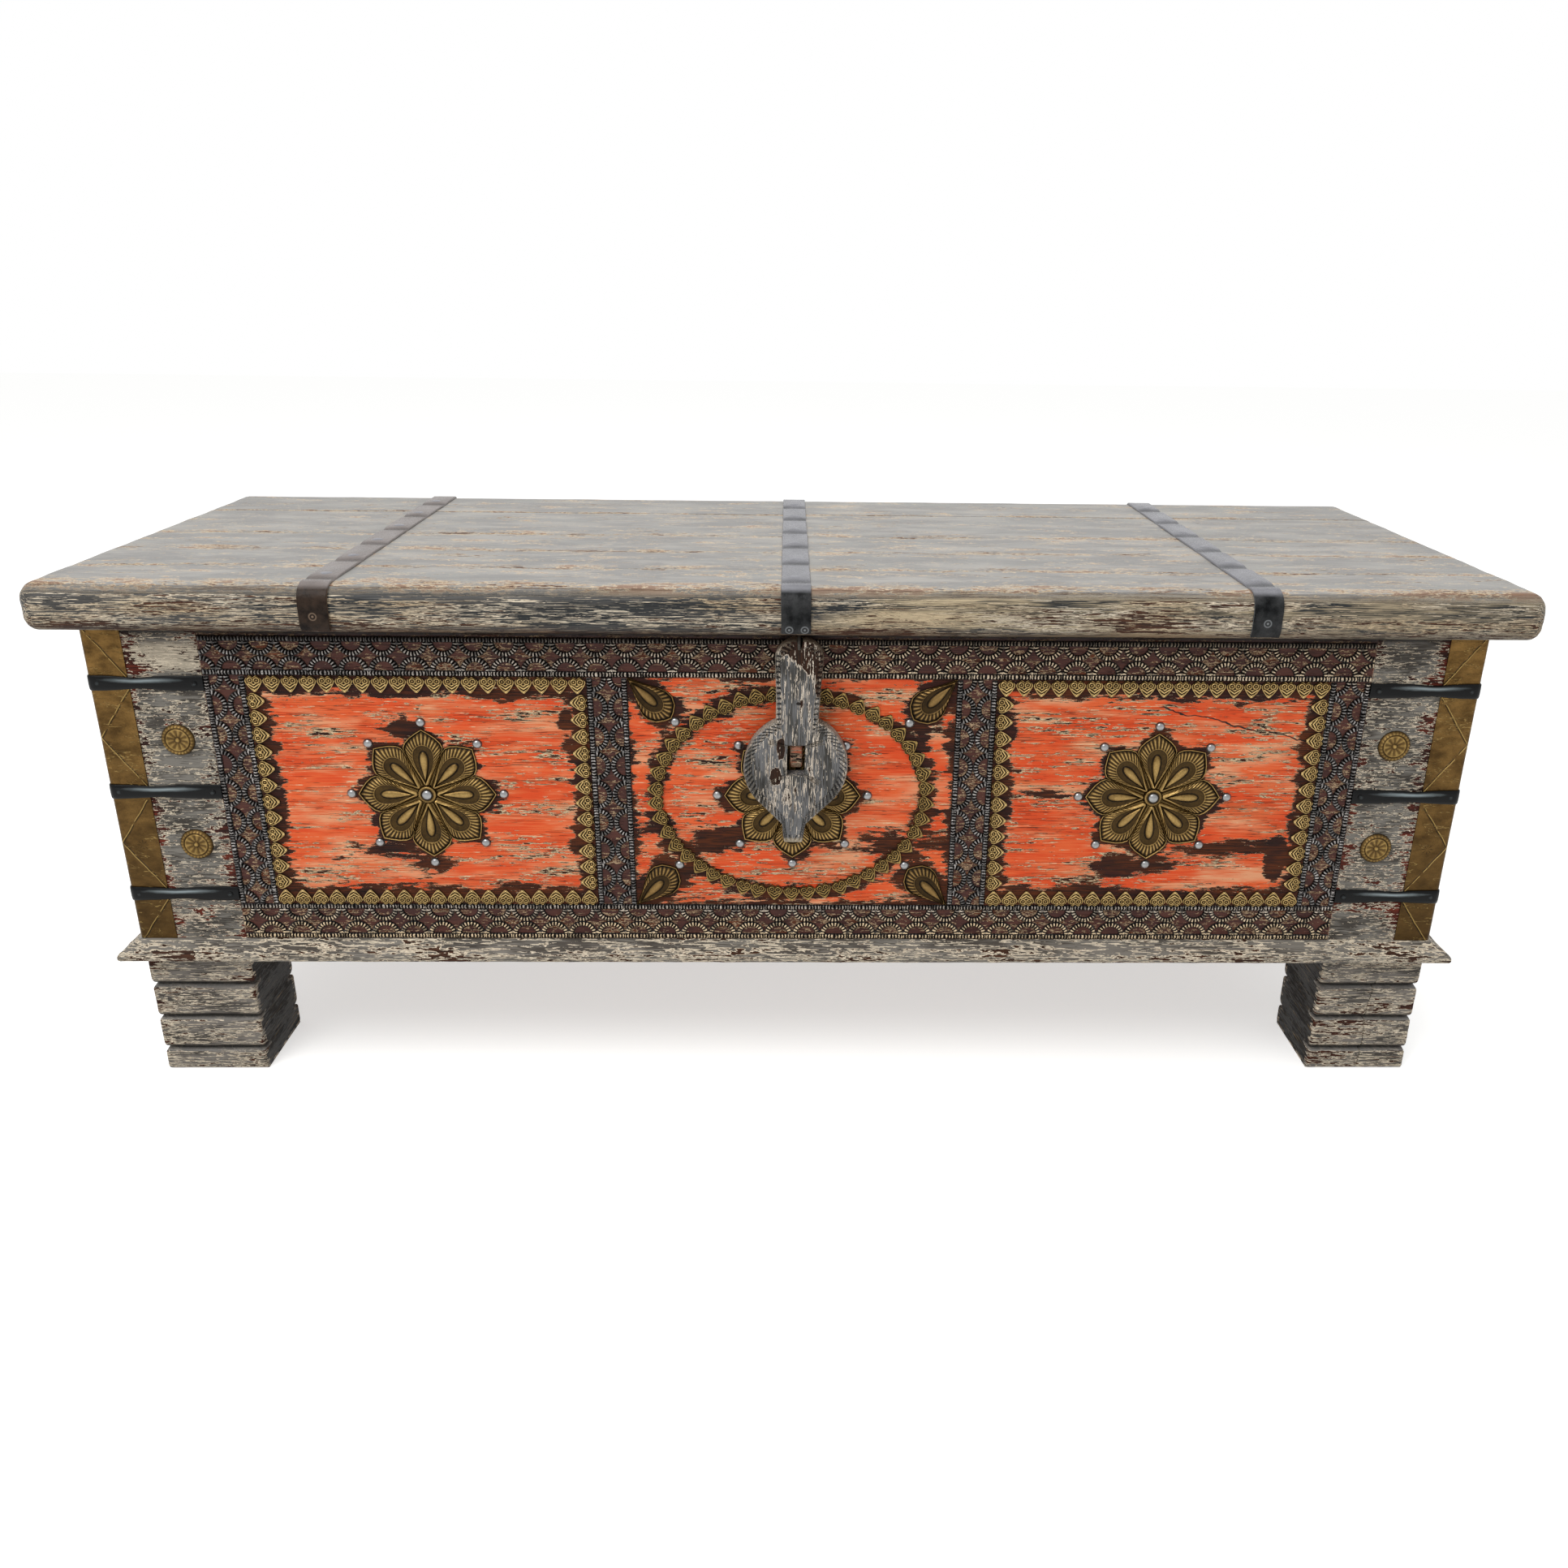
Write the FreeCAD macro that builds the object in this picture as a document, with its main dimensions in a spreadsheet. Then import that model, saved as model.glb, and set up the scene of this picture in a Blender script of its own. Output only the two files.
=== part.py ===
import FreeCAD, Part
import math
import os
import re

import Sketcher
from FreeCAD import Placement, Rotation, Vector

# A carved and painted storage trunk, low enough to serve as a coffee table.
# X runs along the front to the right, Y goes to the back and Z up, in millimetres.
# The origin is on the floor under the middle of the lid.

# Driving sizes, in millimetres and degrees
SIZES = {
    # Every cut runs past its solid by this much
    "overrun": 3,
    # Walls and bottom
    "body_length": 1120,
    "body_depth": 370,
    "body_height": 294,
    "board": 20,
    "bottom_board": 18,
    # Block feet, grooved into lobes at the front and back
    "foot_height": 118,
    "foot_width": 92,
    "foot_depth": 80,
    "foot_lobe": 34.5,
    "foot_base_lobe": 30.5,
    "groove_depth": 12,
    "groove_round": 8,
    "groove_slope": 8,
    # Base moulding
    "moulding_height": 16,
    "moulding_out": 15,
    "moulding_nose": 4,
    # Lid
    "lid_gap": 0.5,
    "lid_thickness": 37.5,
    "overhang_front": 29,
    "overhang_back": 15,
    "overhang_end": 29,
    "lid_corner_cut": 9,
    "lid_top_radius": 14,
    "lid_bottom_radius": 10,
    "plank_front": 74,
    "plank_back": 84,
    "plank_seam_share": 0.555,
    # Battens under the lid
    "batten_width": 45,
    "batten_thickness": 14,
    "batten_clearance": 6,
    # Iron straps over the lid
    "lid_strap_width": 25,
    "lid_strap_thickness": 2,
    "lid_strap_from_end": 225,
    "lid_strap_shift": 4,
    "lid_strap_back_drop": 12,
    "lid_strap_wrap_angle": 40,
    "lid_nail_radius": 6,
    "lid_nail_height": 1.6,
    "lid_nail_pitch": 68,
    # Butt hinges
    "hinge_length": 70,
    "hinge_from_end": 196,
    "leaf_width": 17,
    "leaf_thickness": 1.6,
    "knuckle_radius": 3.2,
    "knuckle_clearance": 0.2,
    "pin_radius": 1.4,
    "pin_clearance": 0.05,
    "mortise_clearance": 0.1,
    # Brass corner plates and the iron straps over them
    "plate_width": 33,
    "plate_thickness": 1,
    "corner_strap_height": 12.5,
    "corner_strap_length": 90,
    "corner_strap_thickness": 2.2,
    "corner_strap_low_gap": 43,
    "corner_strap_high_gap": 48,
    "corner_strap_waist": 1.7,
    "strap_nail_radius": 2.4,
    "strap_nail_height": 1,
    "strap_nail_inset": 7,
    # Pierced iron fretwork
    "stile_width": 89.5,
    "fret_width": 33,
    "fret_thickness": 1.2,
    "fret_margin": 8,
    "fret_low_gap": 0.5,
    "fret_pitch": 24,
    "fret_diamond": 13,
    "post_spacing": 149.5,
    # Brass heart trim
    "heart_pitch": 13.7,
    "heart_depth": 14,
    "heart_band": 3.5,
    "heart_thickness": 1,
    "ring_side_gap": 24,
    "ring_end_gap": 13.75,
    "ring_drop": 3,
    # Large brass rosettes, as a share of the panel's half height
    "rosette_share": 0.56,
    "rosette_base": 1.2,
    "petal_height": 3.4,
    "dish_depth": 1.6,
    "bead_height": 1.4,
    "boss_radius": 7,
    "boss_height": 2.6,
    "nail_gap": 5.5,
    "dome_radius": 4,
    "dome_height": 3,
    # Corner leaves of the middle panel, as a share of its half height
    "leaf_share": 0.48,
    "leaf_height": 2.6,
    "leaf_dish_depth": 1.3,
    "leaf_nail_gap": 4,
    # Small rosettes on the stiles
    "button_radius": 13.5,
    "button_notch_radius": 11,
    "button_height": 1.8,
    "button_boss_radius": 5,
    "button_boss_height": 1.6,
    "button_from_end": 61.5,
    "button_pitch": 93,
    # Carved hasp, its eye and the lug behind its slot
    "hasp_shift": 5,
    "hasp_stand_off": 9,
    "hasp_thickness": 14,
    "hasp_head_half": 19,
    "hasp_head_rise": 4.7,
    "hasp_head_drop": 11.3,
    "hasp_head_arc": 21,
    "hasp_head_round": 4,
    "hasp_neck_half": 17,
    "hasp_disc_radius": 42,
    "hasp_disc_below_lug": 0.5,
    "hasp_tip_root_half": 29.7,
    "hasp_tip_half": 6.5,
    "hasp_tip_shoulder": 8.5,
    "hasp_tip_shoulder_drop": 52,
    "hasp_tip_drop": 68,
    "slot_half_width": 6.5,
    "slot_room": 1.5,
    "slot_rise": 3,
    "eye_drop": 8.2,
    "eye_radius": 6.3,
    "eye_wire": 1.2,
    "eye_room": 0.7,
    "eye_stem_depth": 14,
    "lug_half_width": 5.5,
    "lug_rise_share": 0.5,
    "lug_height_share": 0.4,
    "lug_gap": 0.6,
    "lug_clearance": 0.5,
}

# Places worked out from the driving sizes
PLACES = {
    "half_length": "body_length / 2",
    "front": "(overhang_front - overhang_back - body_depth) / 2",
    "back": "(overhang_front - overhang_back + body_depth) / 2",
    "body_top": "foot_height + body_height",
    "lid_bottom": "body_top + lid_gap",
    "lid_top": "lid_bottom + lid_thickness",
    "lid_half_length": "half_length + overhang_end",
    "lid_half_depth": "(overhang_front + overhang_back + body_depth) / 2",
    "moulding_top": "foot_height + moulding_height",
    "hinge_y": "back + knuckle_radius + knuckle_clearance",
    "hinge_z": "body_top + lid_gap / 2",
    "field_half": "half_length - stile_width",
    "fret_low": "moulding_top + fret_low_gap",
    "fret_high": "body_top - fret_margin",
    "panel_low": "fret_low + fret_width",
    "panel_high": "fret_high - fret_width",
    "panel_middle": "(fret_low + fret_high) / 2",
    "outer_panel_out": "field_half - fret_width",
    "outer_panel_in": "post_spacing + fret_width / 2",
    "outer_panel_middle": "(outer_panel_out + outer_panel_in) / 2",
    "middle_panel_half": "post_spacing - fret_width / 2",
    "panel_half_height": "(panel_high - panel_low) / 2",
    "ring_half_width": "middle_panel_half - ring_side_gap",
    "ring_half_height": "panel_half_height - ring_end_gap",
    "rosette_radius": "rosette_share * panel_half_height",
    "nail_circle": "rosette_radius + nail_gap",
    "leaf_length": "leaf_share * panel_half_height",
    "corner_strap_low": "moulding_top + corner_strap_low_gap",
    "corner_strap_pitch": "(body_top - corner_strap_high_gap - corner_strap_low) / 2",
    "hasp_y": "front - hasp_stand_off - hasp_thickness / 2",
    "eye_height": "lid_bottom - eye_drop",
    "lug_middle": "panel_middle + lug_rise_share * rosette_radius",
    "lug_height": "lug_height_share * rosette_radius",
    "lug_low": "lug_middle - lug_height / 2",
    "slot_half_height": "lug_height / 2 + slot_room",
    "hasp_disc_drop": "eye_height - lug_middle + hasp_disc_below_lug",
}

TINY = 1e-6

DOC = FreeCAD.newDocument("Trunk")
SHEET = DOC.addObject("Spreadsheet::Sheet", "Sizes")


def fill_sheet():
    for row, (alias, value) in enumerate(SIZES.items(), 1):
        SHEET.set("A%d" % row, alias)
        SHEET.set("B%d" % row, str(value))
        SHEET.setAlias("B%d" % row, alias)
    DOC.recompute()


def formula(text):
    """Turn words such as board or lid_top into an expression on the sheet."""
    def spell(match):
        word = match.group()
        if word in PLACES:
            return "(" + formula(PLACES[word]) + ")"
        return "Sizes." + word if word in SIZES else word
    return re.sub("[a-z_]+", spell, text)


def value(text):
    return float(SHEET.evalExpression(formula(text)))


def bind(item, **texts):
    for name, text in texts.items():
        item.setExpression(name.replace("__", "."), formula(text))


def place(item, x="0", y="0", z="0", axis=(0, 0, 1), angle=0):
    item.Placement = Placement(Vector(), Rotation(Vector(*axis), angle))
    for letter, text in zip("xyz", (x, y, z)):
        item.setExpression("Placement.Base." + letter, formula(text))
    return item


def new_body(name):
    body = DOC.addObject("PartDesign::Body", name)
    body.Label = name
    return body


def sketch(body, plane, name, *loops):
    """A sketch on one of the body's own planes, each vertex bound to the sheet.

    A loop is a list of corners (x, y). A corner (x, y, radius, "left") is reached by an arc
    that turns left, and "right" by one that turns right. A loop (x, y, radius) is a circle.
    """
    item = body.newObject("Sketcher::SketchObject", name)
    support = next(f for f in body.Origin.OriginFeatures if f.Role == plane)
    item.AttachmentSupport = (support, [""])
    item.MapMode = "FlatFace"
    for loop in loops:
        if isinstance(loop, tuple):
            add_circle(item, *loop)
        else:
            add_loop(item, loop)
    return item


def hold(item, kind, points, text):
    index = item.addConstraint(Sketcher.Constraint(kind, *points, value(text)))
    item.setExpression("Constraints[%d]" % index, formula(text))


def add_circle(item, x, y, radius):
    middle = Vector(value(x), value(y))
    edge = item.addGeometry(Part.Circle(middle, Vector(0, 0, 1), value(radius)), False)
    hold(item, "DistanceX", (-1, 1, edge, 3), x)
    hold(item, "DistanceY", (-1, 1, edge, 3), y)
    hold(item, "Radius", (edge,), radius)


def add_loop(item, corners):
    points = [Vector(value(corner[0]), value(corner[1])) for corner in corners]
    ends = []
    for number, corner in enumerate(corners):
        start = points[number - 1]
        end = points[number]
        if len(corner) == 2:
            ends.append((item.addGeometry(Part.LineSegment(start, end), False), 1, 2))
            continue
        radius = value(corner[2])
        left = corner[3] == "left"
        edge = item.addGeometry(arc_between(start, end, radius, left), False)
        ends.append((edge, 1, 2) if left else (edge, 2, 1))
        hold(item, "Radius", (edge,), corner[2])
    for number, (edge, begin, finish) in enumerate(ends):
        before = ends[number - 1]
        item.addConstraint(Sketcher.Constraint("Coincident", before[0], before[2], edge, begin))
        hold(item, "DistanceX", (-1, 1, edge, finish), corners[number][0])
        hold(item, "DistanceY", (-1, 1, edge, finish), corners[number][1])


def arc_between(start, end, radius, left):
    chord = end - start
    normal = Vector(-chord.y, chord.x, 0).normalize()
    rise = math.sqrt(max(radius**2 - chord.Length**2 / 4, 0))
    middle = (start + end) / 2 + normal * (rise if left else -rise)
    first, last = (start, end) if left else (end, start)
    angles = [math.atan2(point.y - middle.y, point.x - middle.x) for point in (first, last)]
    circle = Part.Circle(middle, Vector(0, 0, 1), radius)
    return Part.ArcOfCircle(circle, angles[0], angles[1])


def polygon(radius, sides, x="0", y="0"):
    """The corners of a regular polygon round a middle."""
    turns = [360 / sides * side for side in range(sides)]
    return [("%s + %s * cos(%gdeg)" % (x, radius, turn), "%s + %s * sin(%gdeg)" % (y, radius, turn))
            for turn in turns]


def pad(body, profile, length, both=False, reverse=False):
    item = body.newObject("PartDesign::Pad", "Pad")
    item.Profile = profile
    item.SideType = "Symmetric" if both else "One side"
    item.Reversed = reverse
    bind(item, Length=length)
    return item


def pocket(body, profile, length=None):
    """A cut of the given length, or through everything on both sides of the sketch."""
    item = body.newObject("PartDesign::Pocket", "Pocket")
    item.Profile = profile
    if length is None:
        item.SideType = "Symmetric"
        item.Type = "ThroughAll"
    else:
        bind(item, Length=length)
    return item


def row_of(body, features, axis_sketch, axis, count, length):
    """Copies of the features along a sketch's H_Axis or V_Axis, the last at this length."""
    item = body.newObject("PartDesign::LinearPattern", "Row")
    item.Originals = features
    item.Direction = (axis_sketch, [axis])
    bind(item, Occurrences=count, Length=length)
    body.Tip = item
    return item


def ring_of(body, features, axis_sketch, count):
    item = body.newObject("PartDesign::PolarPattern", "Ring")
    item.Originals = features
    item.Axis = (axis_sketch, ["N_Axis"])
    item.Occurrences = count
    body.Tip = item
    return item


def box(name, length, width, height, x, y, z):
    item = DOC.addObject("Part::Box", name)
    item.Label = name
    bind(item, Length=length, Width=width, Height=height)
    return place(item, x, y, z)


def cut(name, base, *tools):
    for number, tool in enumerate(tools):
        item = DOC.addObject("Part::Cut", "%s_cut_%d" % (name, number))
        item.Base = base
        item.Tool = tool
        base = item
    base.Label = name
    return base


def compound(name, pieces):
    item = DOC.addObject("Part::Compound", name)
    item.Label = name
    item.Links = pieces
    return item


# Walls, bottom, feet and moulding

def front_board():
    return box("front_board", "body_length", "board", "body_height", "-half_length", "front",
               "foot_height")


def back_board():
    """The top edge is let in for the lower hinge leaves."""
    blank = box("back_board_blank", "body_length", "board", "body_height",
                "-half_length", "back - board", "foot_height")
    mortises = [
        box("back_mortise_%d" % number, "hinge_length + 2 * mortise_clearance",
            "leaf_width + mortise_clearance + overrun", "leaf_thickness + mortise_clearance + overrun",
            x + " - hinge_length / 2 - mortise_clearance", "back - leaf_width - mortise_clearance",
            "body_top - leaf_thickness - mortise_clearance")
        for number, x in enumerate(HINGE_PLACES)]
    return cut("back_board", blank, *mortises)


def end_board(name, x):
    return box(name, "board", "body_depth - 2 * board", "body_height", x, "front + board", "foot_height")


def bottom():
    return box("bottom_board", "body_length - 2 * board", "body_depth - 2 * board", "bottom_board",
               "board - half_length", "front + board", "foot_height")


def foot(name, x, y):
    """A block whose front and back are cut by grooves: flat above, sloped below, rounded over them."""
    body = new_body(name)
    plan = sketch(body, "XY_Plane", "Plan", [
        ("-foot_width / 2", "-foot_depth / 2"), ("foot_width / 2", "-foot_depth / 2"),
        ("foot_width / 2", "foot_depth / 2"), ("-foot_width / 2", "foot_depth / 2")])
    pad(body, plan, "foot_height")
    face = "foot_depth / 2"
    low = "foot_base_lobe"
    front_groove = [
        ("-overrun - %s" % face, "%s - groove_slope" % low),
        ("-%s" % face, "%s - groove_slope" % low),
        ("groove_depth - %s" % face, low),
        ("groove_round - %s" % face, low),
        ("-%s" % face, "%s + groove_round" % low, "groove_round", "right"),
        ("-overrun - %s" % face, "%s + groove_round" % low)]
    back_groove = [
        ("overrun + %s" % face, "%s + groove_round" % low),
        (face, "%s + groove_round" % low),
        ("%s - groove_round" % face, low, "groove_round", "right"),
        ("%s - groove_depth" % face, low),
        (face, "%s - groove_slope" % low),
        ("overrun + %s" % face, "%s - groove_slope" % low)]
    grooves = sketch(body, "YZ_Plane", "Grooves", front_groove, back_groove)
    notch = pocket(body, grooves)
    row_of(body, [notch], grooves, "V_Axis", "3", "2 * foot_lobe")
    return place(body, x, y)


def moulding(name, run, x, y, angle):
    """A nosed moulding with mitred ends; its back is at local Y 0 and it projects to local -Y."""
    body = new_body(name)
    section = sketch(body, "YZ_Plane", "Section", [
        ("0", "0"),
        ("0", "moulding_height"),
        ("moulding_nose - moulding_out", "2 * moulding_nose"),
        ("-moulding_out", "moulding_nose", "moulding_nose", "left"),
        ("moulding_nose - moulding_out", "0", "moulding_nose", "left")])
    pad(body, section, run + " + 2 * moulding_out", both=True)
    mitres = sketch(body, "XY_Plane", "Mitres", *[
        [("%s * ((%s) / 2 - overrun)" % (side, run), "overrun"),
         ("%s * ((%s) / 2 + moulding_out + overrun)" % (side, run), "-moulding_out - overrun"),
         ("%s * ((%s) / 2 + moulding_out + overrun)" % (side, run), "overrun")]
        for side in ("1", "-1")])
    pocket(body, mitres)
    return place(body, x, y, "foot_height", angle=angle)


# Lid

def lid_blank():
    """The planks are glued up and rounded as one slab; the lower back edge stays square."""
    body = new_body("LidBlank")
    half_x = "lid_half_length"
    half_y = "lid_half_depth"
    plan = sketch(body, "XY_Plane", "Plan", [
        ("lid_corner_cut - " + half_x, "-" + half_y),
        (half_x + " - lid_corner_cut", "-" + half_y),
        (half_x, "lid_corner_cut - " + half_y),
        (half_x, half_y),
        ("-" + half_x, half_y),
        ("-" + half_x, "lid_corner_cut - " + half_y)])
    slab = pad(body, plan, "lid_thickness")
    DOC.recompute()
    top = round_rim(body, slab, "TopRounding", value("lid_thickness"), "lid_top_radius")
    DOC.recompute()
    round_rim(body, top, "BottomRounding", 0, "lid_bottom_radius")
    return place(body, z="lid_bottom")


def round_rim(body, feature, name, height, radius):
    """Round the front and end edges that lie at one height."""
    rim = []
    for number, edge in enumerate(feature.Shape.Edges, 1):
        bounds = edge.BoundBox
        level = abs(bounds.ZMin - height) < TINY and abs(bounds.ZMax - height) < TINY
        at_back = bounds.YMin > value("lid_half_depth") - TINY
        if level and not at_back:
            rim.append("Edge%d" % number)
    item = body.newObject("PartDesign::Fillet", name)
    item.Base = (feature, rim)
    bind(item, Radius=radius)
    return item


def lid_planks():
    blank = lid_blank()
    front_seam = "(plank_front - lid_half_depth)"
    back_seam = "(lid_half_depth - plank_back)"
    middle_seam = "%s + (%s - %s) * plank_seam_share" % (front_seam, back_seam, front_seam)
    seams = ["-lid_half_depth - overrun", front_seam, middle_seam, back_seam, "lid_half_depth + overrun"]
    planks = []
    for number, (start, end) in enumerate(zip(seams, seams[1:]), 1):
        zone = box("plank_zone_%d" % number, "2 * (lid_half_length + overrun)", "(%s) - (%s)" % (end, start),
                   "lid_thickness + 2 * overrun", "-lid_half_length - overrun", start, "lid_bottom - overrun")
        plank = DOC.addObject("Part::Common", "plank_%d" % number)
        plank.Base = blank
        plank.Tool = zone
        planks.append(plank)
    socket = bar("eye_socket", "hasp_shift", "hasp_y", "lid_bottom - overrun",
                 "eye_wire + pin_clearance", "eye_stem_depth + overrun")
    planks[0] = cut("lid_plank_1", planks[0], socket)
    planks[1].Label = "lid_plank_2"
    planks[2].Label = "lid_plank_3"
    recesses = [recess for number, x in enumerate(HINGE_PLACES) for recess in hinge_recesses(number, x)]
    planks[3] = cut("lid_plank_4", planks[3], *recesses)
    return planks


def hinge_recesses(number, x):
    """In the lid's underside: a mortise for the upper leaf and a round channel for the knuckles."""
    mortise = box("lid_mortise_%d" % number, "hinge_length + 2 * mortise_clearance",
                  "leaf_width + mortise_clearance + hinge_y - back",
                  "leaf_thickness + mortise_clearance + overrun",
                  x + " - hinge_length / 2 - mortise_clearance", "back - leaf_width - mortise_clearance",
                  "lid_bottom - overrun")
    channel = DOC.addObject("Part::Cylinder", "knuckle_channel_%d" % number)
    bind(channel, Radius="knuckle_radius + 2 * knuckle_clearance",
         Height="hinge_length + 2 * mortise_clearance")
    place(channel, x + " - hinge_length / 2 - mortise_clearance",
          "hinge_y", "hinge_z", axis=(0, 1, 0), angle=90)
    return [mortise, channel]


def lid_batten(name, x):
    return box(name, "batten_width", "body_depth - 2 * (board + batten_clearance)", "batten_thickness",
               x + " - batten_width / 2", "front + board + batten_clearance", "lid_bottom - batten_thickness")


def lid_strap(name, x):
    """Iron bent over the lid: from under the front edge, across the top and down the back edge."""
    body = new_body(name)
    bend = "lid_top_radius"
    roll = "lid_bottom_radius"
    side = "lid_half_depth"
    iron = "lid_strap_thickness"
    turn_x = "cos(1deg * lid_strap_wrap_angle)"
    turn_z = "sin(1deg * lid_strap_wrap_angle)"
    outer = "(%s + %s)" % (roll, iron)
    section = sketch(body, "YZ_Plane", "Section", [
        ("-%s + %s - %s * %s" % (side, roll, outer, turn_x), "%s - %s * %s" % (roll, outer, turn_z)),
        ("-%s + %s - %s * %s" % (side, roll, roll, turn_x), "%s - %s * %s" % (roll, roll, turn_z)),
        ("-" + side, roll, roll, "right"),
        ("-" + side, "lid_thickness - " + bend),
        ("%s - %s" % (bend, side), "lid_thickness", bend, "right"),
        (side, "lid_thickness"),
        (side, "lid_strap_back_drop"),
        ("%s + %s" % (side, iron), "lid_strap_back_drop"),
        ("%s + %s" % (side, iron), "lid_thickness + " + iron),
        ("%s - %s" % (bend, side), "lid_thickness + " + iron),
        ("-%s - %s" % (side, iron), "lid_thickness - " + bend, "%s + %s" % (bend, iron), "left"),
        ("-%s - %s" % (side, iron), roll),
        ("-%s + %s - %s * %s" % (side, roll, outer, turn_x), "%s - %s * %s" % (roll, outer, turn_z),
         outer, "left")][1:])
    pad(body, section, "lid_strap_width", both=True)
    return place(body, x, z="lid_bottom")


def bar(name, x, y, z, radius, height, axis=(0, 0, 1), angle=0):
    """A six-sided bar, for forged nail heads and the eye's stem; it rises to local +Z."""
    item = DOC.addObject("Part::Prism", name)
    item.Polygon = 6
    bind(item, Circumradius=radius, Height=height)
    return place(item, x, y, z, axis=axis, angle=angle)


def lid_strap_nails():
    """Low hammered heads in a row along each strap."""
    return compound("lid_strap_nails", [
        bar("lid_nail", x, "lid_nail_pitch * %g" % step, "lid_top + lid_strap_thickness",
            "lid_nail_radius", "lid_nail_height")
        for x in STRAP_PLACES for step in (-2.5, -1.5, -0.5, 0.5, 1.5, 2.5)])


# Hinges

def hinge_leaf(name, x, own_knuckles, angle):
    """A plate with its rolled knuckles; turned over, the same section makes the upper leaf."""
    body = new_body(name)
    low = "-lid_gap / 2 - leaf_thickness"
    high = "-lid_gap / 2"
    edge = "-(leaf_width + knuckle_radius + knuckle_clearance)"
    roll = "knuckle_radius"
    section = sketch(body, "YZ_Plane", "Section", [
        (edge, low),
        ("-sqrt(%s^2 - (%s)^2)" % (roll, low), low),
        (roll, "0", roll, "left"),
        ("0", roll, roll, "left"),
        ("-sqrt(%s^2 - (%s)^2)" % (roll, high), high, roll, "left"),
        (edge, high)])
    pad(body, section, "hinge_length", both=True)
    gaps = []
    for number in range(KNUCKLES):
        if number in own_knuckles:
            continue
        left = "hinge_length * (%d / %d - 1 / 2) - knuckle_clearance / 2" % (number, KNUCKLES)
        right = "hinge_length * (%d / %d - 1 / 2) + knuckle_clearance / 2" % (number + 1, KNUCKLES)
        behind = "-knuckle_radius - knuckle_clearance"
        beyond = "knuckle_radius + overrun"
        gaps.append([(left, behind), (right, behind), (right, beyond), (left, beyond)])
    pocket(body, sketch(body, "XY_Plane", "Gaps", *gaps))
    bore = sketch(body, "YZ_Plane", "Bore", ("0", "0", "pin_radius + pin_clearance"))
    pocket(body, bore)
    return place(body, x, "hinge_y", "hinge_z", axis=(0, 1, 0), angle=angle)


def hinge_pin(name, x):
    pin = DOC.addObject("Part::Cylinder", name)
    pin.Label = name
    bind(pin, Radius="pin_radius", Height="hinge_length")
    return place(pin, x + " - hinge_length / 2", "hinge_y", "hinge_z", axis=(0, 1, 0), angle=90)


# Corner plates and straps

def corner_plate(name, side):
    body = new_body(name)
    corners = [("-plate_thickness", "-plate_thickness"), ("plate_width", "-plate_thickness"),
               ("plate_width", "0"), ("0", "0"), ("0", "plate_width"), ("-plate_thickness", "plate_width")]
    plan = sketch(body, "XY_Plane", "Plan", [("%d * (%s)" % (-side, x), y) for x, y in corners])
    pad(body, plan, "body_top - moulding_top")
    return place(body, "%d * half_length" % side, "front", "moulding_top")


WAIST_SHARES = (0.3, 0.38, 0.54, 0.62)


def corner_straps(name, side):
    """Three irons bent round the corner, over the brass plate, each leg drawn in at its waist."""
    body = new_body(name)
    half = "corner_strap_height / 2"
    start = "-plate_thickness - corner_strap_thickness"
    waist = list(zip(["%g * corner_strap_length" % share for share in WAIST_SHARES],
                     [half, half + " - corner_strap_waist", half + " - corner_strap_waist", half]))
    lower_edge = [(start, "-" + half)] + [(x, "-(%s)" % y) for x, y in waist]
    upper_edge = [("corner_strap_length", half)] + waist[::-1] + [(start, half)]
    outline = lower_edge + [("corner_strap_length", "-" + half)] + upper_edge
    front_sketch = sketch(body, "XZ_Plane", "FrontLeg", [("%d * (%s)" % (-side, x), y) for x, y in outline])
    front_leg = pad(body, front_sketch, "corner_strap_thickness")
    bind(front_sketch, AttachmentOffset__Base__z="plate_thickness")
    end_sketch = sketch(body, "YZ_Plane", "EndLeg", outline)
    end_leg = pad(body, end_sketch, "corner_strap_thickness", reverse=side < 0)
    bind(end_sketch, AttachmentOffset__Base__z="%d * plate_thickness" % side)
    row_of(body, [front_leg, end_leg], front_sketch, "V_Axis", "3", "2 * corner_strap_pitch")
    return place(body, "%d * half_length" % side, "front", "corner_strap_low")


def front_nail(name, x, z, stand_off, radius, height):
    """A nail head that stands out to the front from its seat."""
    return bar(name, x, "front - (%s)" % stand_off, z, radius, height, axis=(1, 0, 0), angle=90)


def strap_nails():
    """Two nail heads on the front leg of each corner iron."""
    return compound("corner_strap_nails", [
        front_nail("strap_nail", "%d * (half_length - (%s))" % (side, inset),
                   "corner_strap_low + %d * corner_strap_pitch" % row,
                   "plate_thickness + corner_strap_thickness", "strap_nail_radius", "strap_nail_height")
        for side in (-1, 1) for row in range(3)
        for inset in ("strap_nail_inset", "corner_strap_length - strap_nail_inset")])


# Pierced fretwork

def fret(name, length, x, z, upright=False):
    """A strip pierced by a row of diamonds."""
    body = new_body(name)
    plate = sketch(body, "XZ_Plane", "Plate", [
        ("0", "-fret_width / 2"), (length, "-fret_width / 2"),
        (length, "fret_width / 2"), ("0", "fret_width / 2")])
    pad(body, plate, "fret_thickness")
    count = "floor((%s) / fret_pitch)" % length
    pitch = "((%s) / %s)" % (length, count)
    middle = pitch + " / 2"
    half = "fret_diamond / 2"
    diamond = sketch(body, "XZ_Plane", "Diamond", [
        ("%s - %s" % (middle, half), "0"), (middle, "-" + half),
        ("%s + %s" % (middle, half), "0"), (middle, half)])
    hole = pocket(body, diamond)
    row_of(body, [hole], diamond, "H_Axis", count, "(%s) - %s" % (length, pitch))
    return place(body, x, "front", z, axis=(0, -1, 0), angle=90 if upright else 0)


# Brass heart trim

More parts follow.
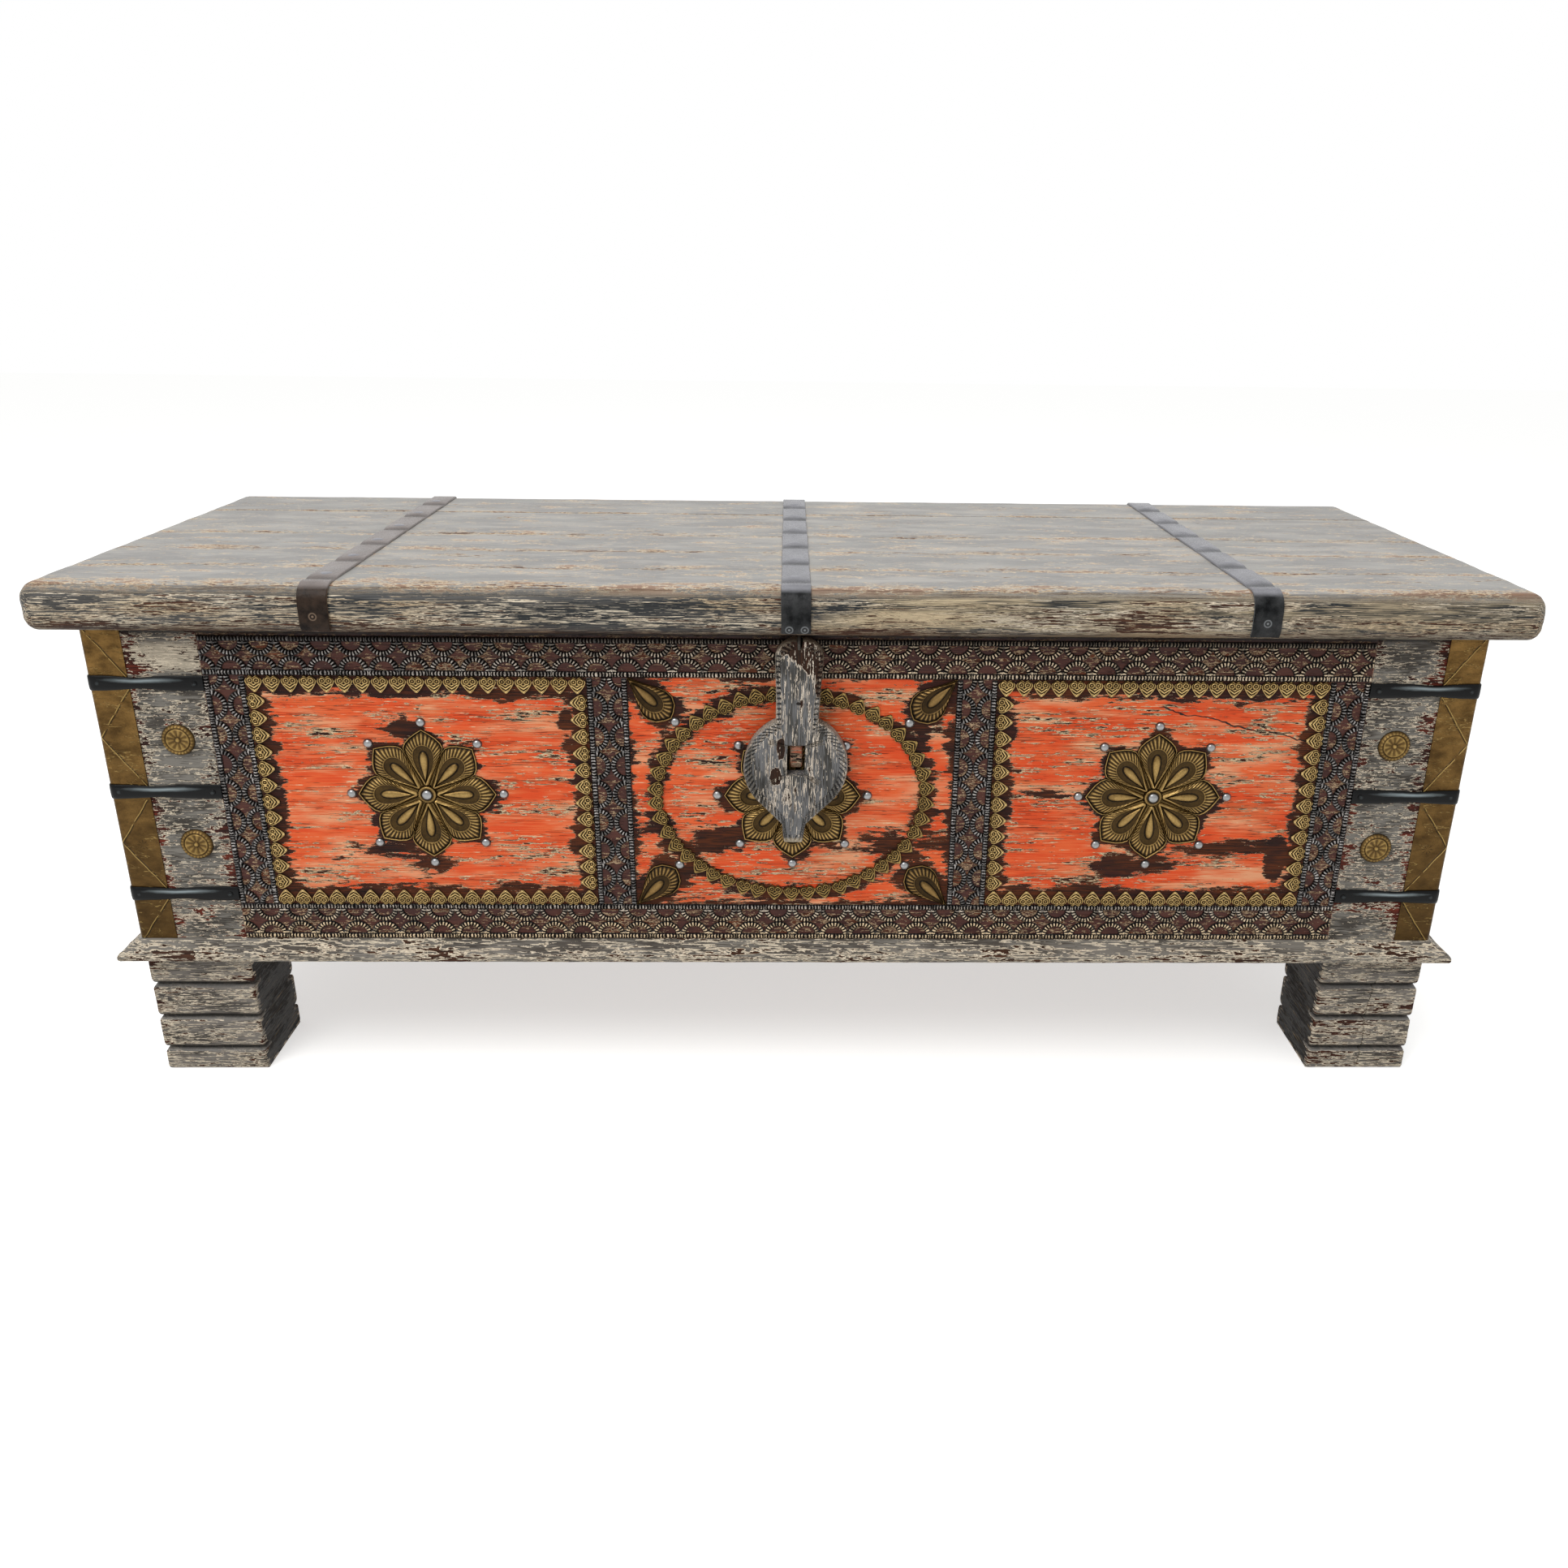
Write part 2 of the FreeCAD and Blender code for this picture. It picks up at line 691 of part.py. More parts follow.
def heart_strip(name, length, x, z, angle):
    """A band with pointed hearts along one edge, pointing to local +Z."""
    body = new_body(name)
    band = sketch(body, "XZ_Plane", "Band", [
        ("0", "0"), (length, "0"), (length, "heart_band"), ("0", "heart_band")])
    pad(body, band, "heart_thickness")
    count = "floor((%s) / heart_pitch)" % length
    pitch = "((%s) / %s)" % (length, count)
    heart = sketch(body, "XZ_Plane", "Heart", [
        ("0", "heart_band"), (pitch, "heart_band"), (pitch + " / 2", "heart_depth")])
    first = pad(body, heart, "heart_thickness")
    row_of(body, [first], heart, "H_Axis", count, "(%s) - %s" % (length, pitch))
    return place(body, x, "front", z, axis=(0, -1, 0), angle=angle)


def heart_strips(side, name):
    """The four strips that line one outer panel."""
    left = "-outer_panel_out" if side < 0 else "outer_panel_in"
    right = "-outer_panel_in" if side < 0 else "outer_panel_out"
    width = "outer_panel_out - outer_panel_in"
    upright = "panel_high - panel_low - 2 * heart_depth"
    return [
        heart_strip("heart_strip_%s_bottom" % name, width, left, "panel_low", 0),
        heart_strip("heart_strip_%s_top" % name, width, right, "panel_high", 180),
        heart_strip("heart_strip_%s_west" % name, upright, left, "panel_high - heart_depth", -90),
        heart_strip("heart_strip_%s_east" % name, upright, right, "panel_low + heart_depth", 90)]


def heart_ring():
    """An oval band whose hearts point outwards, cut from one sheet."""
    half_width = value("ring_half_width")
    half_height = value("ring_half_height")
    middle_line = value("heart_depth") / 2
    steps = 720
    walk = [ellipse_point(half_width, half_height, 2 * math.pi * step / steps) for step in range(steps + 1)]
    lengths = [0]
    for start, end in zip(walk, walk[1:]):
        lengths.append(lengths[-1] + (end[0] - start[0]).Length)
    points = 2 * round(lengths[-1] / value("heart_pitch"))
    outer = []
    inner = []
    for number in range(points):
        target = number / points * lengths[-1]
        near = min(range(steps), key=lambda step: abs(lengths[step] - target))
        point, normal = walk[near]
        tip = number % 2
        outer.append(point + normal * (value("heart_depth" if tip else "heart_band") - middle_line))
        if tip:
            inner.append(point - normal * middle_line)
    rims = [Part.makePolygon(rim + rim[:1]) for rim in (outer, inner)]
    face = Part.Face(rims, "Part::FaceMakerBullseye")
    item = DOC.addObject("Part::Feature", "heart_ring")
    item.Label = "heart_ring"
    item.Shape = face.extrude(Vector(0, -value("heart_thickness"), 0))
    return place(item, "0", "front", "panel_middle - ring_drop")


def ellipse_point(half_width, half_height, angle):
    """A point of the oval in the front plane, and the normal there."""
    point = Vector(half_width * math.cos(angle), 0, half_height * math.sin(angle))
    normal = Vector(half_height * math.cos(angle), 0, half_width * math.sin(angle)).normalize()
    return point, normal


# Rosettes and leaves

PETALS = 8
# Inner end, outer end and half width, of the rosette's radius or the leaf's length
PETAL_SHARES = (0.193, 0.877, 0.21)
DISH_SHARES = (0.281, 0.719, 0.132)
BEAD_SHARES = (0.368, 0.649, 0.053)
LEAF_SHARES = (0, 1, 0.306)
LEAF_DISH_SHARES = (0.28, 0.84, 0.163)
LEAF_BEAD_SHARES = (0.4, 0.76, 0.061)
# How far along a shape lies each pair of its corners, and how wide it is there
DROP_OUTLINE_SHARES = ((0.62, 1), (0.9, 0.62))
KITE_OUTLINE_SHARES = ((0.65, 1),)
LEAF_OUTLINE_SHARES = ((0.35, 0.72), (0.62, 1), (0.88, 0.6))
NOTCH_SHARE = 0.772
TIP_SHARES = (0.88, 0.17)


def pointed(size, shares, outline_shares):
    """A shape along the X axis with a point at each end, the same on both sides."""
    inner, outer, half_width = ["%g * %s" % (share, size) for share in shares]
    places = [("%s + (%s - %s) * %g" % (inner, outer, inner, along), "%g * %s" % (wide, half_width))
              for along, wide in outline_shares]
    return [(inner, "0")] + [(x, "-" + y) for x, y in places] + [(outer, "0")] + places[::-1]


def raised(body, name, outline, height):
    return pad(body, sketch(body, "XZ_Plane", name, outline), height)


def sunk(body, name, outline, height, depth):
    """A dish let into a face that stands out this high."""
    item = sketch(body, "XZ_Plane", name, outline)
    bind(item, AttachmentOffset__Base__z=height)
    return pocket(body, item, depth)


def rosette(name, x, lug=False):
    """Eight pointed petals on a sheet, each with a sunk drop and a bead in it, round a boss."""
    body = new_body(name)
    size = "rosette_radius"
    half_petal = "%gdeg" % (180 / PETALS)
    across = "%g * %s * sin(%s)" % (NOTCH_SHARE, size, half_petal)
    along = "%g * %s * cos(%s)" % (NOTCH_SHARE, size, half_petal)
    tip_along, tip_across = ["%g * %s" % (share, size) for share in TIP_SHARES]
    blade = sketch(body, "XZ_Plane", "Blade", [
        ("0", "0"), (along, "-" + across), (tip_along, "-" + tip_across), (size, "0"),
        (tip_along, tip_across), (along, across)])
    petal = [
        pad(body, blade, "rosette_base"),
        raised(body, "Petal", pointed(size, PETAL_SHARES, DROP_OUTLINE_SHARES), "petal_height"),
        sunk(body, "Dish", pointed(size, DISH_SHARES, DROP_OUTLINE_SHARES), "petal_height", "dish_depth"),
        raised(body, "Bead", pointed(size, BEAD_SHARES, KITE_OUTLINE_SHARES),
               "petal_height - dish_depth + bead_height")]
    ring_of(body, petal, blade, PETALS)
    raised(body, "Boss", polygon("boss_radius", PETALS), "petal_height + boss_height")
    if lug:
        side = "lug_half_width + lug_clearance"
        low = "lug_low - lug_clearance - (panel_middle)"
        high = "lug_low + lug_height + lug_clearance - (panel_middle)"
        opening = sketch(body, "XZ_Plane", "LugOpening", [
            ("hasp_shift - (%s)" % side, low), ("hasp_shift + %s" % side, low),
            ("hasp_shift + %s" % side, high), ("hasp_shift - (%s)" % side, high)])
        pocket(body, opening)
    return place(body, x, "front", "panel_middle")


def leaf(name, side, level):
    """A leaf with its tip in a corner of the middle panel."""
    body = new_body(name)
    size = "leaf_length"
    raised(body, "Blade", pointed(size, LEAF_SHARES, LEAF_OUTLINE_SHARES), "leaf_height")
    sunk(body, "Dish", pointed(size, LEAF_DISH_SHARES, DROP_OUTLINE_SHARES), "leaf_height", "leaf_dish_depth")
    raised(body, "Bead", pointed(size, LEAF_BEAD_SHARES, KITE_OUTLINE_SHARES), "leaf_height")
    angle = {(1, 1): 225, (-1, 1): 315, (-1, -1): 45, (1, -1): 135}[(side, level)]
    return place(body, "%d * middle_panel_half" % side, "front",
                 "panel_high" if level > 0 else "panel_low", axis=(0, -1, 0), angle=angle)


def corner_leaves():
    corners = [(side, level) for side in (-1, 1) for level in (-1, 1)]
    leaves = [leaf("leaf_%d" % number, *corner) for number, corner in enumerate(corners)]
    return compound("corner_leaves", leaves)


def dome(x, z):
    return front_nail("dome", x, z, "0", "dome_radius", "dome_height")


def dome_nails():
    """Round-headed nails: eight round each large rosette, and one at the root of each corner leaf."""
    nails = []
    for x in ROSETTE_PLACES:
        nails += [dome(*corner) for corner in polygon("nail_circle", PETALS, x, "panel_middle")]
    reach = "(leaf_length + leaf_nail_gap) * sin(45deg)"
    for side in ("-1", "1"):
        across = "%s * (middle_panel_half - %s)" % (side, reach)
        nails.append(dome(across, "panel_low + " + reach))
        nails.append(dome(across, "panel_high - " + reach))
    return compound("dome_nails", nails)


def button(name, side, z):
    """A small scalloped rosette on a stile."""
    body = new_body(name)
    tips = polygon("button_radius", 2 * PETALS)[::2]
    notches = polygon("button_notch_radius", 2 * PETALS)[1::2]
    scallops = [corner for pair in zip(tips, notches) for corner in pair]
    raised(body, "Sheet", scallops, "button_height")
    raised(body, "Boss", polygon("button_boss_radius", PETALS), "button_height + button_boss_height")
    return place(body, "%d * (half_length - button_from_end)" % side, "front", z)


def stile_rosettes(name, side):
    return compound(name, [button(name + "_low", side, "panel_middle - button_pitch / 2"),
                           button(name + "_high", side, "panel_middle + button_pitch / 2")])


# Hasp

WIRE_SIDES = 12


def hasp():
    """A carved drop of wood: rounded head, neck, slotted disc and pointed tip, on a wire eye.

    Its own origin is the middle of the eye.
    """
    body = new_body("hasp")
    disc = "hasp_disc_radius"
    right_side = [
        ("hasp_tip_half", "-hasp_disc_drop - hasp_tip_drop"),
        ("hasp_tip_shoulder", "-hasp_disc_drop - hasp_tip_shoulder_drop"),
        ("hasp_tip_root_half", "-hasp_disc_drop - sqrt(hasp_disc_radius^2 - hasp_tip_root_half^2)"),
        (disc, "-hasp_disc_drop", disc, "left"),
        ("hasp_neck_half", "-hasp_disc_drop + sqrt(hasp_disc_radius^2 - hasp_neck_half^2)", disc, "left"),
        ("hasp_head_half", "-hasp_head_drop")]
    left_side = [("-" + corner[0],) + corner[1:2] for corner in reversed(right_side)]
    left_side[0] += ("hasp_head_arc", "left")
    left_side[2] += (disc, "left")
    left_side[3] += (disc, "left")
    top = [("0", "hasp_head_rise", "hasp_head_arc", "left")]
    pad(body, sketch(body, "XZ_Plane", "Outline", right_side + top + left_side), "hasp_thickness", both=True)
    low = "slot_rise - hasp_disc_drop - slot_half_height"
    high = "slot_rise - hasp_disc_drop + slot_half_height"
    pocket(body, sketch(body, "XZ_Plane", "Slot", [
        ("-slot_half_width", low), ("slot_half_width", low),
        ("slot_half_width", high), ("-slot_half_width", high)]))
    shoulder = "hasp_head_rise - hasp_head_round"
    beyond = "hasp_head_rise + overrun"
    face = "hasp_thickness / 2"
    crown_edges = sketch(body, "YZ_Plane", "CrownEdges", [
        ("-%s - overrun" % face, shoulder), ("-" + face, shoulder),
        ("hasp_head_round - " + face, "hasp_head_rise", "hasp_head_round", "right"),
        ("hasp_head_round - " + face, beyond), ("-%s - overrun" % face, beyond)], [
        ("%s + overrun" % face, beyond), (face + " - hasp_head_round", beyond),
        (face + " - hasp_head_round", "hasp_head_rise"), (face, shoulder, "hasp_head_round", "right"),
        ("%s + overrun" % face, shoulder)])
    pocket(body, crown_edges)
    channel = sketch(body, "YZ_Plane", "EyeChannel", polygon("(eye_radius + eye_wire + eye_room)", WIRE_SIDES),
                     polygon("(eye_radius - eye_wire - eye_room)", WIRE_SIDES))
    channel_cut = pocket(body, channel, "2 * (eye_wire + eye_room)")
    channel_cut.SideType = "Symmetric"
    return place(body, "hasp_shift", "hasp_y", "eye_height")


def hasp_eye():
    """A closed wire ring under the lid's front edge, its stem driven into the first plank."""
    ring = new_body("eye_ring")
    rims = sketch(ring, "YZ_Plane", "Rims", polygon("(eye_radius + eye_wire)", WIRE_SIDES),
                  polygon("(eye_radius - eye_wire)", WIRE_SIDES))
    pad(ring, rims, "2 * eye_wire", both=True)
    place(ring, "hasp_shift", "hasp_y", "eye_height")
    stem = bar("eye_stem", "hasp_shift", "hasp_y", "eye_height + eye_radius", "eye_wire",
               "lid_bottom + eye_stem_depth - overrun - eye_height - eye_radius")
    eye = DOC.addObject("Part::Fuse", "hasp_eye")
    eye.Label = "hasp_eye"
    eye.Base = ring
    eye.Tool = stem
    return eye


def hasp_lug():
    return box("hasp_lug", "2 * lug_half_width", "hasp_stand_off - lug_gap", "lug_height",
               "hasp_shift - lug_half_width", "front - hasp_stand_off + lug_gap", "lug_low")


KNUCKLES = 3
HINGE_PLACES = ("hinge_from_end - half_length", "half_length - hinge_from_end")
STRAP_PLACES = ("lid_strap_shift - (lid_half_length - lid_strap_from_end)", "lid_strap_shift",
                "lid_strap_shift + lid_half_length - lid_strap_from_end")
ROSETTE_PLACES = ("-outer_panel_middle", "0", "outer_panel_middle")


def build():
    nodes = [front_board(), back_board(), end_board("left_end_board", "-half_length"),
             end_board("right_end_board", "half_length - board"), bottom()]
    for name, x in (("left", "foot_width / 2 - half_length"), ("right", "half_length - foot_width / 2")):
        nodes.append(foot("foot_front_" + name, x, "front + foot_depth / 2"))
        nodes.append(foot("foot_back_" + name, x, "back - foot_depth / 2"))
    nodes += [moulding("base_moulding_front", "body_length", "0", "front", 0),
              moulding("base_moulding_right", "body_depth", "half_length", "(front + back) / 2", 90),
              moulding("base_moulding_back", "body_length", "0", "back", 180),
              moulding("base_moulding_left", "body_depth", "-half_length", "(front + back) / 2", 270)]
    nodes += [corner_plate("corner_plate_left", -1), corner_plate("corner_plate_right", 1),
              corner_straps("corner_straps_left", -1), corner_straps("corner_straps_right", 1), strap_nails()]
    field = "2 * field_half"
    upright = "panel_high - panel_low"
    nodes += [fret("fret_top", field, "-field_half", "fret_high - fret_width / 2"),
              fret("fret_bottom", field, "-field_half", "fret_low + fret_width / 2"),
              fret("fret_left", upright, "-field_half + fret_width / 2", "panel_low", True),
              fret("fret_right", upright, "field_half - fret_width / 2", "panel_low", True),
              fret("fret_post_left", upright, "-post_spacing", "panel_low", True),
              fret("fret_post_right", upright, "post_spacing", "panel_low", True)]
    nodes += heart_strips(-1, "left") + heart_strips(1, "right") + [heart_ring()]
    nodes += [rosette("rosette_" + name, x, lug=name == "middle")
              for name, x in zip(("left", "middle", "right"), ROSETTE_PLACES)]
    nodes += [corner_leaves(), dome_nails()]
    nodes += [stile_rosettes("stile_rosettes_left", -1), stile_rosettes("stile_rosettes_right", 1)]
    nodes += lid_planks()
    nodes += [lid_batten("lid_batten_" + name, x) for name, x in zip(("left", "right"), HINGE_PLACES)]
    nodes += [lid_strap("lid_strap_" + name, x) for name, x in zip(("left", "middle", "right"), STRAP_PLACES)]
    nodes.append(lid_strap_nails())
    for name, x in zip(("left", "right"), HINGE_PLACES):
        nodes.append(hinge_leaf("hinge_lower_leaf_" + name, x, (0, 2), 0))
        nodes.append(hinge_leaf("hinge_upper_leaf_" + name, x, (1,), 180))
        nodes.append(hinge_pin("hinge_pin_" + name, x))
    nodes += [hasp(), hasp_eye(), hasp_lug()]
    return nodes


def check(nodes):
    DOC.recompute()
    for item in DOC.Objects:
        if "Invalid" in item.State or "Error" in item.State:
            raise RuntimeError("failed: %s %s" % (item.Name, item.State))
    for node in nodes:
        if node.Shape.isNull() or not node.Shape.isValid():
            raise RuntimeError("bad shape: " + node.Label)


def export(nodes):
    os.makedirs("parts", exist_ok=True)
    for node in nodes:
        node.Shape.exportStep("parts/%s.step" % node.Label)


fill_sheet()
NODES = build()
check(NODES)
export(NODES)
print(len(NODES), "nodes")
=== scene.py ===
"""A painted storage trunk with iron and brass trim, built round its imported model."""

import bmesh
import bpy
import numpy as np
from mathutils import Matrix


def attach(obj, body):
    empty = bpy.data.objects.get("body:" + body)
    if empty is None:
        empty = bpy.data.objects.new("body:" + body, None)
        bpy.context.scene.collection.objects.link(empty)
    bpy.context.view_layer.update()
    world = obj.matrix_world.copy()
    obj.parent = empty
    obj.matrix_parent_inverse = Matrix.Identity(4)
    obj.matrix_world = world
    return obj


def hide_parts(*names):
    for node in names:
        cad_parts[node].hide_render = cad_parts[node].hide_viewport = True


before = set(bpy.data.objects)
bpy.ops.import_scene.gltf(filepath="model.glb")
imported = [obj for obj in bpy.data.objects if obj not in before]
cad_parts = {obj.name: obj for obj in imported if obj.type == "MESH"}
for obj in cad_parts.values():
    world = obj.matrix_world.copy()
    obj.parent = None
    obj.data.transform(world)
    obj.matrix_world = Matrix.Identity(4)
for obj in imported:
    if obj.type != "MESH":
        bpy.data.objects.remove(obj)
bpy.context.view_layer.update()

# The walls: plain boards, painted outside and bare inside. The front has grey stiles, three
# orange panels between dark strips, and paint that has worn through to a cream ground and
# to dark stained wood, in streaks along the grain.
MM = 0.001
FRONT = -178.0
BACK = 192.0
HALF_LENGTH = 560.0
FOOT_TOP = 118.0
WALL_TOP = 412.0
PANEL_LOW = 167.5
PANEL_HIGH = 371.0
PANEL_MIDDLE = 269.25
OUTER_PANEL_IN = 166.0
OUTER_PANEL_OUT = 437.5
MIDDLE_PANEL = 133.0
ROSETTE_X = 301.75
STILE = 470.5
RING_HALF_WIDTH = 113.0
RING_HALF_HEIGHT = 90.5
RING_MIDDLE = 268.75


class Field:
    """A value in a material's nodes; arithmetic on it adds Math nodes to its tree."""

    def __init__(self, socket):
        self.socket = socket
        self.tree = socket.id_data

    def __add__(self, other):
        return math_node("ADD", self, other)

    def __radd__(self, other):
        return math_node("ADD", other, self)

    def __sub__(self, other):
        return math_node("SUBTRACT", self, other)

    def __rsub__(self, other):
        return math_node("SUBTRACT", other, self)

    def __mul__(self, other):
        return math_node("MULTIPLY", self, other)

    def __rmul__(self, other):
        return math_node("MULTIPLY", other, self)

    def __truediv__(self, other):
        return math_node("DIVIDE", self, other)

    def __abs__(self):
        return math_node("ABSOLUTE", self)


def put(socket, value):
    """Set a socket, or link it where the value is a field."""
    if isinstance(value, Field):
        value.tree.links.new(value.socket, socket)
    else:
        socket.default_value = value


def math_node(operation, *values):
    tree = next(value.tree for value in values if isinstance(value, Field))
    item = tree.nodes.new("ShaderNodeMath")
    item.operation = operation
    for socket, value in zip(item.inputs, values):
        put(socket, value)
    return Field(item.outputs[0])


def lowest(first, *others):
    for other in others:
        first = math_node("MINIMUM", first, other)
    return first


def highest(first, *others):
    for other in others:
        first = math_node("MAXIMUM", first, other)
    return first


def length_of(x, y):
    return math_node("SQRT", x * x + y * y)


def ramp(value, low, high):
    """0 up to low, 1 from high on, and even between them."""
    item = value.tree.nodes.new("ShaderNodeMapRange")
    put(item.inputs["Value"], value)
    item.inputs["From Min"].default_value = low
    item.inputs["From Max"].default_value = high
    return Field(item.outputs[0])


def mix(share, first, second):
    """The first colour where share is 0, and the second where it is 1."""
    item = share.tree.nodes.new("ShaderNodeMix")
    item.data_type = "RGBA"
    put(item.inputs[0], share)
    put(item.inputs[6], first)
    put(item.inputs[7], second)
    return Field(item.outputs[2])


def noise(place, size, detail=3.0, roughness=0.6):
    """Noise from 0 to 1 with spots of this size, in millimetres along each axis."""
    tree = place.tree
    scaled = tree.nodes.new("ShaderNodeVectorMath")
    scaled.operation = "MULTIPLY"
    put(scaled.inputs[0], place)
    scaled.inputs[1].default_value = [1 / (MM * side) for side in size]
    item = tree.nodes.new("ShaderNodeTexNoise")
    item.inputs["Scale"].default_value = 1.0
    item.inputs["Detail"].default_value = detail
    item.inputs["Roughness"].default_value = roughness
    tree.links.new(scaled.outputs[0], item.inputs["Vector"])
    return Field(item.outputs[0])


def axes(place):
    item = place.tree.nodes.new("ShaderNodeSeparateXYZ")
    put(item.inputs[0], place)
    return [Field(socket) for socket in item.outputs]


def combined(x, y, z=0.0):
    """The vector with these three parts."""
    item = x.tree.nodes.new("ShaderNodeCombineXYZ")
    for socket, value in zip(item.inputs, (x, y, z)):
        put(socket, value)
    return Field(item.outputs[0])


def attribute(tree, name):
    item = tree.nodes.new("ShaderNodeAttribute")
    item.attribute_name = name
    return Field(item.outputs["Fac"])


def object_place(tree, turn=None):
    """Object coordinates; turn brings another axis to X, where the grain runs."""
    item = tree.nodes.new("ShaderNodeTexCoord")
    place = Field(item.outputs["Object"])
    if turn is None:
        return place
    mapping = tree.nodes.new("ShaderNodeMapping")
    put(mapping.inputs["Vector"], place)
    mapping.inputs["Rotation"].default_value = turn
    return Field(mapping.outputs[0])


def round_place(tree):
    """Object coordinates for upright faces: the grain runs level on all four sides."""
    x, y, z = axes(object_place(tree))
    return combined(x + y, z)


def colour(code):
    """The linear colour of a hex code."""
    values = np.array([int(code[start:start + 2], 16) for start in (0, 2, 4)]) / 255
    linear = np.where(values > 0.04045, ((values + 0.055) / 1.055) ** 2.4, values / 12.92)
    return (*linear.tolist(), 1.0)


def new_group(name, inputs, outputs):
    """A node group; inputs maps names to (kind, value) and outputs maps names to kinds."""
    tree = bpy.data.node_groups.new(name, "ShaderNodeTree")
    for title, (kind, value) in inputs.items():
        socket = tree.interface.new_socket(name=title, in_out="INPUT", socket_type="NodeSocket" + kind)
        if value is not None:
            socket.default_value = value
    for title, kind in outputs.items():
        tree.interface.new_socket(name=title, in_out="OUTPUT", socket_type="NodeSocket" + kind)
    start = tree.nodes.new("NodeGroupInput")
    end = tree.nodes.new("NodeGroupOutput")
    return tree, {title: Field(start.outputs[title]) for title in inputs}, end.inputs


def use(tree, group, **values):
    item = tree.nodes.new("ShaderNodeGroup")
    item.node_tree = group
    for title, value in values.items():
        put(item.inputs[title], value)
    return {socket.name: Field(socket) for socket in item.outputs}


def new_material(name):
    material = bpy.data.materials.new(name)
    material.use_nodes = True
    return material, material.node_tree, material.node_tree.nodes["Principled BSDF"]


def bump(shader, height, distance):
    """Height from 0 to 1 stands for this many millimetres."""
    item = shader.id_data.nodes.new("ShaderNodeBump")
    item.inputs["Distance"].default_value = distance * MM
    put(item.inputs["Height"], height)
    put(shader.inputs["Normal"], Field(item.outputs[0]))


def worn_paint_group():
    """Old paint over a pale ground over wood: a sum of noises, long in X, has two thresholds.

    Below the first the paint holds, between them the ground shows, and above the second the
    wood does, with a dark outline at both. Wear adds to the sum, so that it bares the wood
    where it is high. Threads are brush marks and scratches, a millimetre wide.
    """
    tree, given, made = new_group("worn paint", {
        "Place": ("Vector", None), "Paint": ("Color", None), "Shade": ("Color", None),
        "Ground": ("Color", None), "Wood": ("Color", None), "Wear": ("Float", 0.0),
        "Scratches": ("Float", 0.5), "Cracks": ("Float", 0.5)},
        {"Color": "Color", "Height": "Float", "Roughness": "Float"})
    place = given["Place"]
    streaks = noise(place, (26, 1.7, 1.7), 3.0, 0.6)
    patches = noise(place, (90, 12, 12), 5.0, 0.66)
    flecks = noise(place, (8, 1.7, 1.7), 3.0, 0.6)
    threads = noise(place, (24, 0.8, 0.8), 2.0, 0.5)
    clouds = noise(place, (70, 20, 20), 2.0, 0.5)
    clusters = noise(place, (60, 26, 26), 2.0, 0.5)
    level = ((streaks - 0.5) * 1.4 + (patches - 0.5) * 1.6 + (flecks - 0.5) * 1.6
             + (clusters - 0.5) + given["Wear"])
    ground = ramp(level, 0.13, 0.15)
    wood = ramp(level, 0.28, 0.3)
    outline = highest(*[ramp(abs(level - border), 0.03, 0.01) for border in (0.125, 0.31)]) * 0.55
    scratch = ramp(threads + level * 0.45 + given["Scratches"] * 0.2, 0.69, 0.72)
    split = noise(place, (50, 1.1, 1.1), 2.0, 0.5)
    crack = ramp(abs(split - 0.46), 0.015, 0.006) * ramp(patches, 0.45, 0.5) * given["Cracks"]
    paint = mix(ramp(threads + (clouds - 0.5) * 1.1, 0.4, 0.6), given["Paint"], given["Shade"])
    paint = mix(scratch * 0.85, paint, given["Ground"])
    dirty_ground = mix(ramp(flecks + threads, 0.95, 1.2) * 0.4, given["Ground"], given["Wood"])
    dark_wood = mix(ramp(threads, 0.42, 0.58) * 0.7, given["Wood"], colour("120a07"))
    shown = mix(wood, mix(ground, paint, dirty_ground), dark_wood)
    dark_lines = highest(crack, outline * given["Cracks"] * 1.3)
    put(made["Color"], mix(dark_lines, shown, colour("100a07")))
    put(made["Height"], 1.0 - ground * 0.3 - wood * 0.45 - crack * 0.5
        + (streaks - 0.5) * 0.6 + (threads - 0.5) * 0.5)
    put(made["Roughness"], 0.52 + ground * 0.2 + wood * 0.1)
    return tree


worn_paint = worn_paint_group()
GREY = {"Paint": colour("77736c"), "Shade": colour("3b3630"),
        "Ground": colour("e8dac2"), "Wood": colour("3f2115")}


def grain_group():
    """Bare wood: long streaks along X between two browns, with fine pores."""
    tree, given, made = new_group("bare wood", {
        "Place": ("Vector", None), "Light": ("Color", None), "Dark": ("Color", None)},
        {"Color": "Color", "Height": "Float"})
    streaks = noise(given["Place"], (90, 3.5, 3.5), 5.0, 0.65)
    pores = noise(given["Place"], (12, 0.7, 0.7), 2.0, 0.5)
    browned = ramp(streaks + (pores - 0.5) * 0.4, 0.35, 0.68)
    put(made["Color"], mix(browned, given["Light"], given["Dark"]))
    put(made["Height"], streaks + pores * 0.5)
    return tree


bare_wood = grain_group()
BARE = {"Light": colour("9a7450"), "Dark": colour("6b4a30")}


def painted_shader(shader, made, height=0.5):
    put(shader.inputs["Base Color"], made["Color"])
    shader.inputs["Specular IOR Level"].default_value = 0.25
    put(shader.inputs["Roughness"], made["Roughness"])
    bump(shader, made["Height"], height)


# Bald places of the front as (x, z, half width, half height).
WORN_PLACES = (
    (376, 222, 46, 7), (414, 214, 11, 22), (298, 204, 40, 9), (226, 271, 24, 3),
    (-337, 219, 32, 6), (-315, 328, 15, 10), (-300, 207, 16, 9), (-184, 337, 8, 13),
    (-60, 230, 22, 12), (-108, 238, 26, 3), (92, 228, 38, 9))


